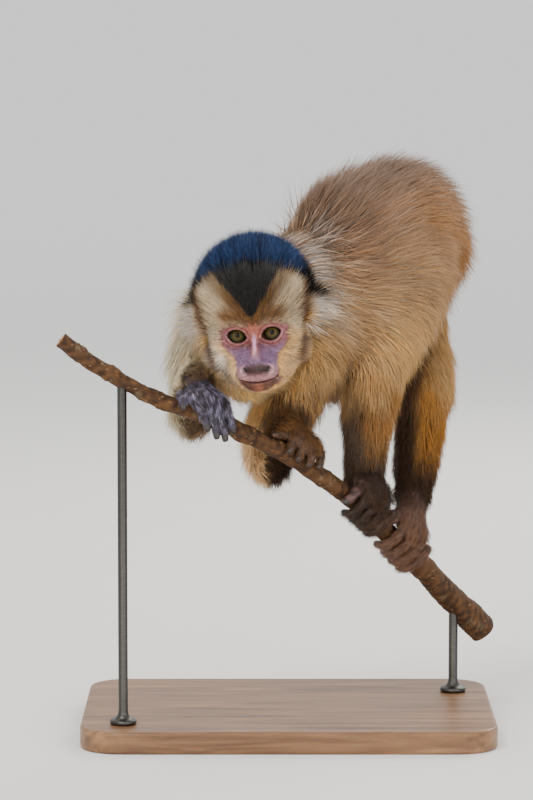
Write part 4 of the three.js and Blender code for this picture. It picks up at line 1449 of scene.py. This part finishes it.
def nailShape(digit, bark, s):  # a curved plate that wraps the end of a digit on its outer side
    end, ahead = digit["line"][-1], digit["along"][-1]
    radius = digit["wide"][-1] + 0.15
    outward = end - bark
    outward = unit(outward - ahead * dot(outward, ahead))
    across = np.cross(ahead, outward)
    rings = []
    for t in np.linspace(0, 1, s["rows"]):
        narrow = np.sqrt(np.clip(1 - ((t - 0.42) / 0.66) ** 2, 0.05, 1))
        angles = np.radians(np.linspace(-s["wrap"], s["wrap"], s["columns"]) * narrow)[:, None]
        middle = end + ahead * (t * s["length"] - s["back"]) - outward * 0.9 * ramp(t, 0.55, 1.15)
        ways = np.cos(angles) * outward + np.sin(angles) * across
        half = s["thick"] * (0.4 + 0.6 * narrow) * 0.5
        rings.append(np.vstack([middle + (radius + half) * ways, middle + (radius - half) * ways[::-1]]))
    return loft(rings)


def nailMaterial():
    material, tree, place = startMaterial("nail")
    streaks = addNoise(tree, place, 1400, 3.0)
    return finishMaterial(material, {
        "Base Color": addMix(tree, streaks, rgba(18, 13, 12), rgba(56, 44, 40)),
        "Roughness": addRange(tree, streaks, 0.22, 0.42), "Normal": addBump(tree, streaks, 0.15, 0.0002),
        "Specular IOR Level": 0.5})


def makeNails(s):
    shapes = [nailShape(digit, perchSection(digit["line"][-1][0])[0], s)
              for g in gripShapes.values() for digit in g["digits"]]
    points, faces = joined(shapes)
    made = makeObject("nails", points, faces, nailMaterial())
    turnOutwards(made)
    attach(made, "root")


makeNails(nailSettings)
print("nails made")

# Knots by their place along the branch, the side they are on, height and width, and old leaf scars.
barkSettings = {
    "spacing": 0.9, "around": 56, "ridge": 0.28, "lump": 0.4, "highest": 2.0, "settle": 0.25, "endRings": 12,
    "knots": [(-118, 20, 1.8, 5), (-84, 150, 1.5, 5), (-30, 200, 1.2, 5), (26, 100, 2.0, 7),
              (33, 290, 1.4, 6), (92, 60, 2.2, 8), (118, 330, 1.6, 8)],
    "scars": [-138, -120, -98, -86, -40, -26, 24, 36, 66, 94, 112, 128]}
barkTones = shades({"dark": (54, 33, 16), "light": (86, 57, 31), "lichen": (120, 108, 86),
                    "sawnEdge": (88, 60, 40), "sawnDark": (168, 128, 84), "sawnLight": (196, 160, 112)})


def barkMaterial():
    material, tree, place = startMaterial("bark")
    grain = addNoise(tree, place, 900, 8.0, Roughness=0.65)
    cracks = addBump(tree, addCracks(tree, place, 520), 0.5, 0.0006)
    return finishMaterial(material, {
        "Base Color": tintedColour(tree, addNoise(tree, place, 260, 8.0), 0.3),
        "Roughness": addRange(tree, grain, 0.6, 0.95), "Specular IOR Level": 0.3,
        "Normal": addBump(tree, grain, 0.7, 0.0008, Normal=cracks)})


def barkRing(centre, radius, along, s, angles):
    front = unit(np.cross(along, (0, 0, 1)))
    over = np.cross(front, along)
    ways = np.cos(angles)[:, None] * over + np.sin(angles)[:, None] * front
    spots = centre + ways * radius
    relief = s["ridge"] * wave(np.column_stack([spots[:, 0] * 0.25, ways[:, 1] * 9, ways[:, 2] * 9]), 5, 61)
    relief += s["lump"] * wave(spots, 13, 62)
    turn = np.degrees(angles)
    for x, angle, height, wide in s["knots"]:
        gap = (turn - angle + 180) % 360 - 180
        relief += height * bump(centre[0], x, wide) * bump(gap, 0, 34)
        relief -= 0.8 * bump(centre[0], x, wide * 0.3) * bump(gap, 0, 10)
    for x in s["scars"]:
        relief += 0.35 * bump(centre[0], x, 1.1) - 0.25 * bump(centre[0], x + 2.2, 0.8)
    return ways, relief, spots


def sawnEnd(edge, centre, outward, s):  # rings and colours of an end with growth rings, from the edge in
    rings, tints = [], []
    for k, share in enumerate(np.linspace(0.97, 0.04, s["endRings"])):
        rings.append(centre + (edge - centre) * share + outward * (0.5 * ramp(share, 1.0, 0.85)))
        tone = "sawnEdge" if k == 0 else ("sawnDark", "sawnLight")[k % 2]
        tints.append(np.repeat(barkTones[tone][None], s["around"], 0))
    return rings, tints


def makePerch(s):
    line = curveThrough(perchPath, s["spacing"])
    along = unit(np.gradient(line, axis=0))
    wide = profile(perchRadii)(np.linspace(0, 1, len(line)))
    angles = turnsRound(s["around"])
    rings, tints = [], []
    for centre, way, radius in zip(line, along, wide):
        ways, relief, spots = barkRing(centre, radius, way, s, angles)
        reach = radius + np.minimum(relief, s["highest"]) - s["settle"]
        rings.append(centre + ways * reach[:, None])
        lichen = ramp(wave(spots, 16, 64) + 0.5 * wave(spots, 3, 65), 0.9, 1.4)
        # darker in the hollows and lighter on ridges and knots: partly the bark's own weathering, partly
        # painted shade and highlight
        tints.append(painted(barkTones, "dark", [
            ("light", ramp(relief + 0.7 * wave(spots, 5, 63), -1.0, 1.2)), ("lichen", lichen * 0.3)]))
    first = sawnEnd(rings[0], line[0], -along[0], s)
    last = sawnEnd(rings[-1], line[-1], along[-1], s)
    points, faces = loft(first[0][::-1] + rings + last[0])
    tints = first[1][::-1] + tints + last[1]
    made = makeObject("perch_bark", points, faces, barkFinish, colours=np.vstack(tints))
    turnOutwards(made)
    return made


# Small corky spots set into the bark.
lenticelSettings = {"density": 16000.0, "seed": 4, "length": 0.00105, "width": 0.00055, "height": 0.0004,
                    "least": 0.55, "most": 1.3}


def lenticelTree(material):
    tree = bpy.data.node_groups.new("lenticels", "GeometryNodeTree")
    sockets = tree.interface
    sockets.new_socket("Bark", in_out="INPUT", socket_type="NodeSocketGeometry")
    names = {name: sockets.new_socket(name, in_out="INPUT", socket_type=kind).identifier for name, kind in (
        ("density", "NodeSocketFloat"), ("seed", "NodeSocketInt"), ("length", "NodeSocketFloat"),
        ("width", "NodeSocketFloat"), ("height", "NodeSocketFloat"), ("least", "NodeSocketFloat"),
        ("most", "NodeSocketFloat"))}
    sockets.new_socket("Spots", in_out="OUTPUT", socket_type="NodeSocketGeometry")
    given = addNode(tree, "NodeGroupInput").outputs
    points = addNode(tree, "GeometryNodeDistributePointsOnFaces", {
        "Mesh": given["Bark"], "Density": given["density"], "Seed": given["seed"]})
    spot = addNode(tree, "GeometryNodeMeshUVSphere", {"Segments": 8, "Rings": 5, "Radius": 1.0})
    size = addNode(tree, "ShaderNodeCombineXYZ", {
        "X": given["length"], "Y": given["width"], "Z": given["height"]})
    varied = addNode(tree, "FunctionNodeRandomValue", {
        2: given["least"], 3: given["most"], "Seed": given["seed"]}, data_type="FLOAT")
    scale = addNode(tree, "ShaderNodeVectorMath", {0: size.outputs["Vector"], "Scale": varied.outputs[1]},
                    operation="SCALE")
    placed = addNode(tree, "GeometryNodeInstanceOnPoints", {
        "Points": points.outputs["Points"], "Instance": spot.outputs["Mesh"],
        "Rotation": points.outputs["Rotation"], "Scale": scale.outputs["Vector"]})
    real = addNode(tree, "GeometryNodeRealizeInstances", {"Geometry": placed.outputs["Instances"]})
    done = addNode(tree, "GeometryNodeSetMaterial", {
        "Geometry": real.outputs["Geometry"], "Material": material})
    addNode(tree, "NodeGroupOutput", {"Spots": done.outputs["Geometry"]})
    return tree, names


def lenticelMaterial():
    material, tree, place = startMaterial("corkSpots")
    grain = addNoise(tree, place, 700, 4.0)
    return finishMaterial(material, {
        "Base Color": addMix(tree, grain, rgba(84, 58, 36), rgba(140, 108, 76)), "Roughness": 0.85,
        "Specular IOR Level": 0.25})


def makeLenticels(bark, s):
    made = bark.copy()
    made.data = bark.data.copy()
    made.name = "perch_spots"
    bpy.context.collection.objects.link(made)
    tree, names = lenticelTree(lenticelMaterial())
    modifier = made.modifiers.new("spots", "NODES")
    modifier.node_group = tree
    for key, identifier in names.items():
        modifier[identifier] = s[key]
    depsgraph = bpy.context.evaluated_depsgraph_get()
    mesh = bpy.data.meshes.new_from_object(made.evaluated_get(depsgraph))
    made.modifiers.clear()
    made.data = mesh
    mesh.polygons.foreach_set("use_smooth", np.ones(len(mesh.polygons), bool))
    return made


barkFinish = barkMaterial()
bark = makePerch(barkSettings)
spots = makeLenticels(bark, lenticelSettings)
for piece in (bark, spots):
    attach(piece, "root")
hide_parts("perch")
print("branch made, with", len(spots.data.polygons), "faces of cork spots")

boardSettings = {"length": 280, "width": 200, "thick": 15, "corner": 28, "edge": 2.0, "cornerSteps": 14}
rodSettings = {"radius": 3.2, "collar": 9, "collarHeight": 7, "around": 40,
               "places": {"left": -111, "right": 116}}


def roundedOutline(s, inset):
    a, b, r = s["length"] / 2 - inset, s["width"] / 2 - inset, s["corner"] - inset
    spots = []
    for k, (x, y) in enumerate(((a - r, b - r), (r - a, b - r), (r - a, r - b), (a - r, r - b))):
        for turn in np.linspace(k, k + 1, s["cornerSteps"]) * np.pi / 2:
            spots.append((x + r * np.cos(turn), y + r * np.sin(turn)))
    return np.array(spots)


def makeBoard(s, material):
    steps = np.linspace(0, np.pi / 2, 6)
    levels = [(s["edge"] * (1 - np.sin(t)), s["edge"] * (1 - np.cos(t))) for t in steps]
    levels += [(inset, s["thick"] - z) for inset, z in reversed(levels)]
    rings = [np.column_stack([roundedOutline(s, inset), np.full(4 * s["cornerSteps"], z)])
             for inset, z in levels]
    points, faces = loft(rings)
    made = makeObject("display_board", points, faces, material, smooth=False)
    turnOutwards(made)
    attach(made, "root")
    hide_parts("stand_base")


def rodOutline(s, top):  # radii and heights of the turned foot, then of the rod
    foot, thin, wide = s["collarHeight"], s["radius"], s["collar"]
    outline = [(0.3, 0.4), (wide - 0.8, 0.4), (wide - 0.2, 0.7), (wide, 1.3), (wide, foot * 0.4),
               (wide - 0.5, foot * 0.5)]
    outline += [(thin + 0.2 + (wide - thin - 1) * (1 - np.sin(t)), foot * 0.5 + foot * 0.75 * (1 - np.cos(t)))
                for t in np.linspace(0.1, np.pi / 2, 9)]
    return outline + [(thin, foot + 3), (thin, top - 0.6), (thin - 0.5, top), (0.3, top)]


def makeRod(side, s, material):  # a turned foot and a straight rod up into the underside of the branch
    centre, radius = perchSection(s["places"][side])[:2]
    around = turnsRound(s["around"])
    foot = np.array([centre[0], centre[1], boardSettings["thick"]])
    rings = [foot + np.column_stack([r * np.cos(around), r * np.sin(around), np.full(len(around), z)])
             for r, z in rodOutline(s, centre[2] - boardSettings["thick"] - radius * 0.55)]
    points, faces = loft(rings)
    made = makeObject("rod_" + side, points, faces, material)
    turnOutwards(made)
    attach(made, "root")
    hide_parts("stand_rod_" + side)


def woodMaterial():  # oiled hardwood, its grain along the board
    material, tree, place = startMaterial("oiledWood")
    along = addStretch(tree, place, (1.2, 14.0, 14.0))
    bands = addNoise(tree, along, 9.0, 6.0, Distortion=0.6)
    pores = addNode(tree, "ShaderNodeTexNoise", {"Vector": along, "Scale": 90.0, "Detail": 4.0}).outputs
    colour = addNode(tree, "ShaderNodeValToRGB", {"Fac": bands})
    stops = colour.color_ramp.elements
    stops[0].position, stops[0].color = 0.3, rgba(96, 66, 44)
    stops[1].position, stops[1].color = 0.72, rgba(158, 118, 82)
    return finishMaterial(material, {
        "Base Color": addMix(tree, 0.35, colour.outputs["Color"], pores["Color"], blend_type="SOFT_LIGHT"),
        "Roughness": addRange(tree, pores["Fac"], 0.3, 0.5), "Specular IOR Level": 0.4,
        "Normal": addBump(tree, pores["Fac"], 0.15, 0.0003)})


def metalMaterial():  # blackened steel, faintly brushed
    material, tree, place = startMaterial("blackenedSteel")
    along = addStretch(tree, place, (1.0, 1.0, 12.0))
    brush = addNoise(tree, along, 160, 5.0)
    return finishMaterial(material, {
        "Base Color": addMix(tree, brush, rgba(52, 51, 50), rgba(96, 94, 90)), "Metallic": 1.0,
        "Roughness": addRange(tree, brush, 0.28, 0.5), "Normal": addBump(tree, brush, 0.08, 0.0002)})


makeBoard(boardSettings, woodMaterial())
steel = metalMaterial()
for side in rodSettings["places"]:
    makeRod(side, rodSettings, steel)
print("display stand made")

lightSettings = {
    "key": {"from": (-0.9, -1.1, 2.4), "size": 1.1, "power": 35, "colour": (1.0, 0.95, 0.88)},
    "fill": {"from": (1.3, -1.7, 0.35), "size": 1.6, "power": 19},
    "low": {"from": (-0.5, -1.6, 0.12), "size": 1.2, "power": 14, "colour": (1.0, 0.92, 0.8)},
    "rim": {"from": (0.9, 1.4, 1.3), "size": 1.0, "power": 20, "colour": (1.0, 0.94, 0.86)},
    "catch": {"from": (-0.5, -2.1, 1.15), "size": 0.13, "power": 3.0},
}
lightAim = (0.0, 0.0, 0.22)  # in metres, as the lights' places are


def makeLight(name, s):
    data = bpy.data.lights.new(name, "AREA")
    data.size = s["size"]
    data.energy = s["power"]
    data.color = s.get("colour", (1, 1, 1))
    light = bpy.data.objects.new(name, data)
    light.location = s["from"]
    back = unit(np.array(s["from"]) - np.array(lightAim))
    side = unit(np.cross((0, 0, 1), back))
    light.rotation_euler = Matrix(np.column_stack([side, np.cross(back, side), back]).tolist()).to_euler()
    bpy.context.collection.objects.link(light)


for lightName, lightChoice in lightSettings.items():
    makeLight(lightName, lightChoice)

skyColour = (0.98, 0.98, 0.98, 1)
skyStrength = 1.05
world = bpy.data.worlds.new("studio")
world.use_nodes = True
setInputs(world.node_tree, world.node_tree.nodes["Background"], {"Color": skyColour, "Strength": skyStrength})
bpy.context.scene.world = world

floorSettings = {"half": 30000, "fadeFrom": 0.8, "fadeTo": 6.0,
                 "tones": ((0.85, 0.85, 0.84, 1), (0.89, 0.89, 0.88, 1))}


def makeFloor(s):  # pale, and melting into the backdrop a few metres away
    material, tree, place = startMaterial("paleFloor")
    far = addNode(tree, "ShaderNodeVectorMath", {0: place}, operation="LENGTH").outputs["Value"]
    fade = addRange(tree, far, 0.0, 1.0, s["fadeFrom"], s["fadeTo"], interpolation_type="SMOOTHSTEP")
    near = addMix(tree, addNoise(tree, place, 3.0, 2.0), *s["tones"])
    glow = addNode(tree, "ShaderNodeMath", {0: fade, 1: skyStrength}, operation="MULTIPLY").outputs["Value"]
    finishMaterial(material, {
        "Base Color": addMix(tree, fade, near, (0, 0, 0, 1)), "Roughness": 0.9, "Specular IOR Level": 0.0,
        "Emission Color": skyColour, "Emission Strength": glow})
    corners = s["half"] * np.array([(-1, -1, 0), (1, -1, 0), (1, 1, 0), (-1, 1, 0)], float)
    floor = makeObject("floor", corners, [np.array([[0, 1, 2, 3]])], material, smooth=False)


makeFloor(floorSettings)
print("lights and floor placed")
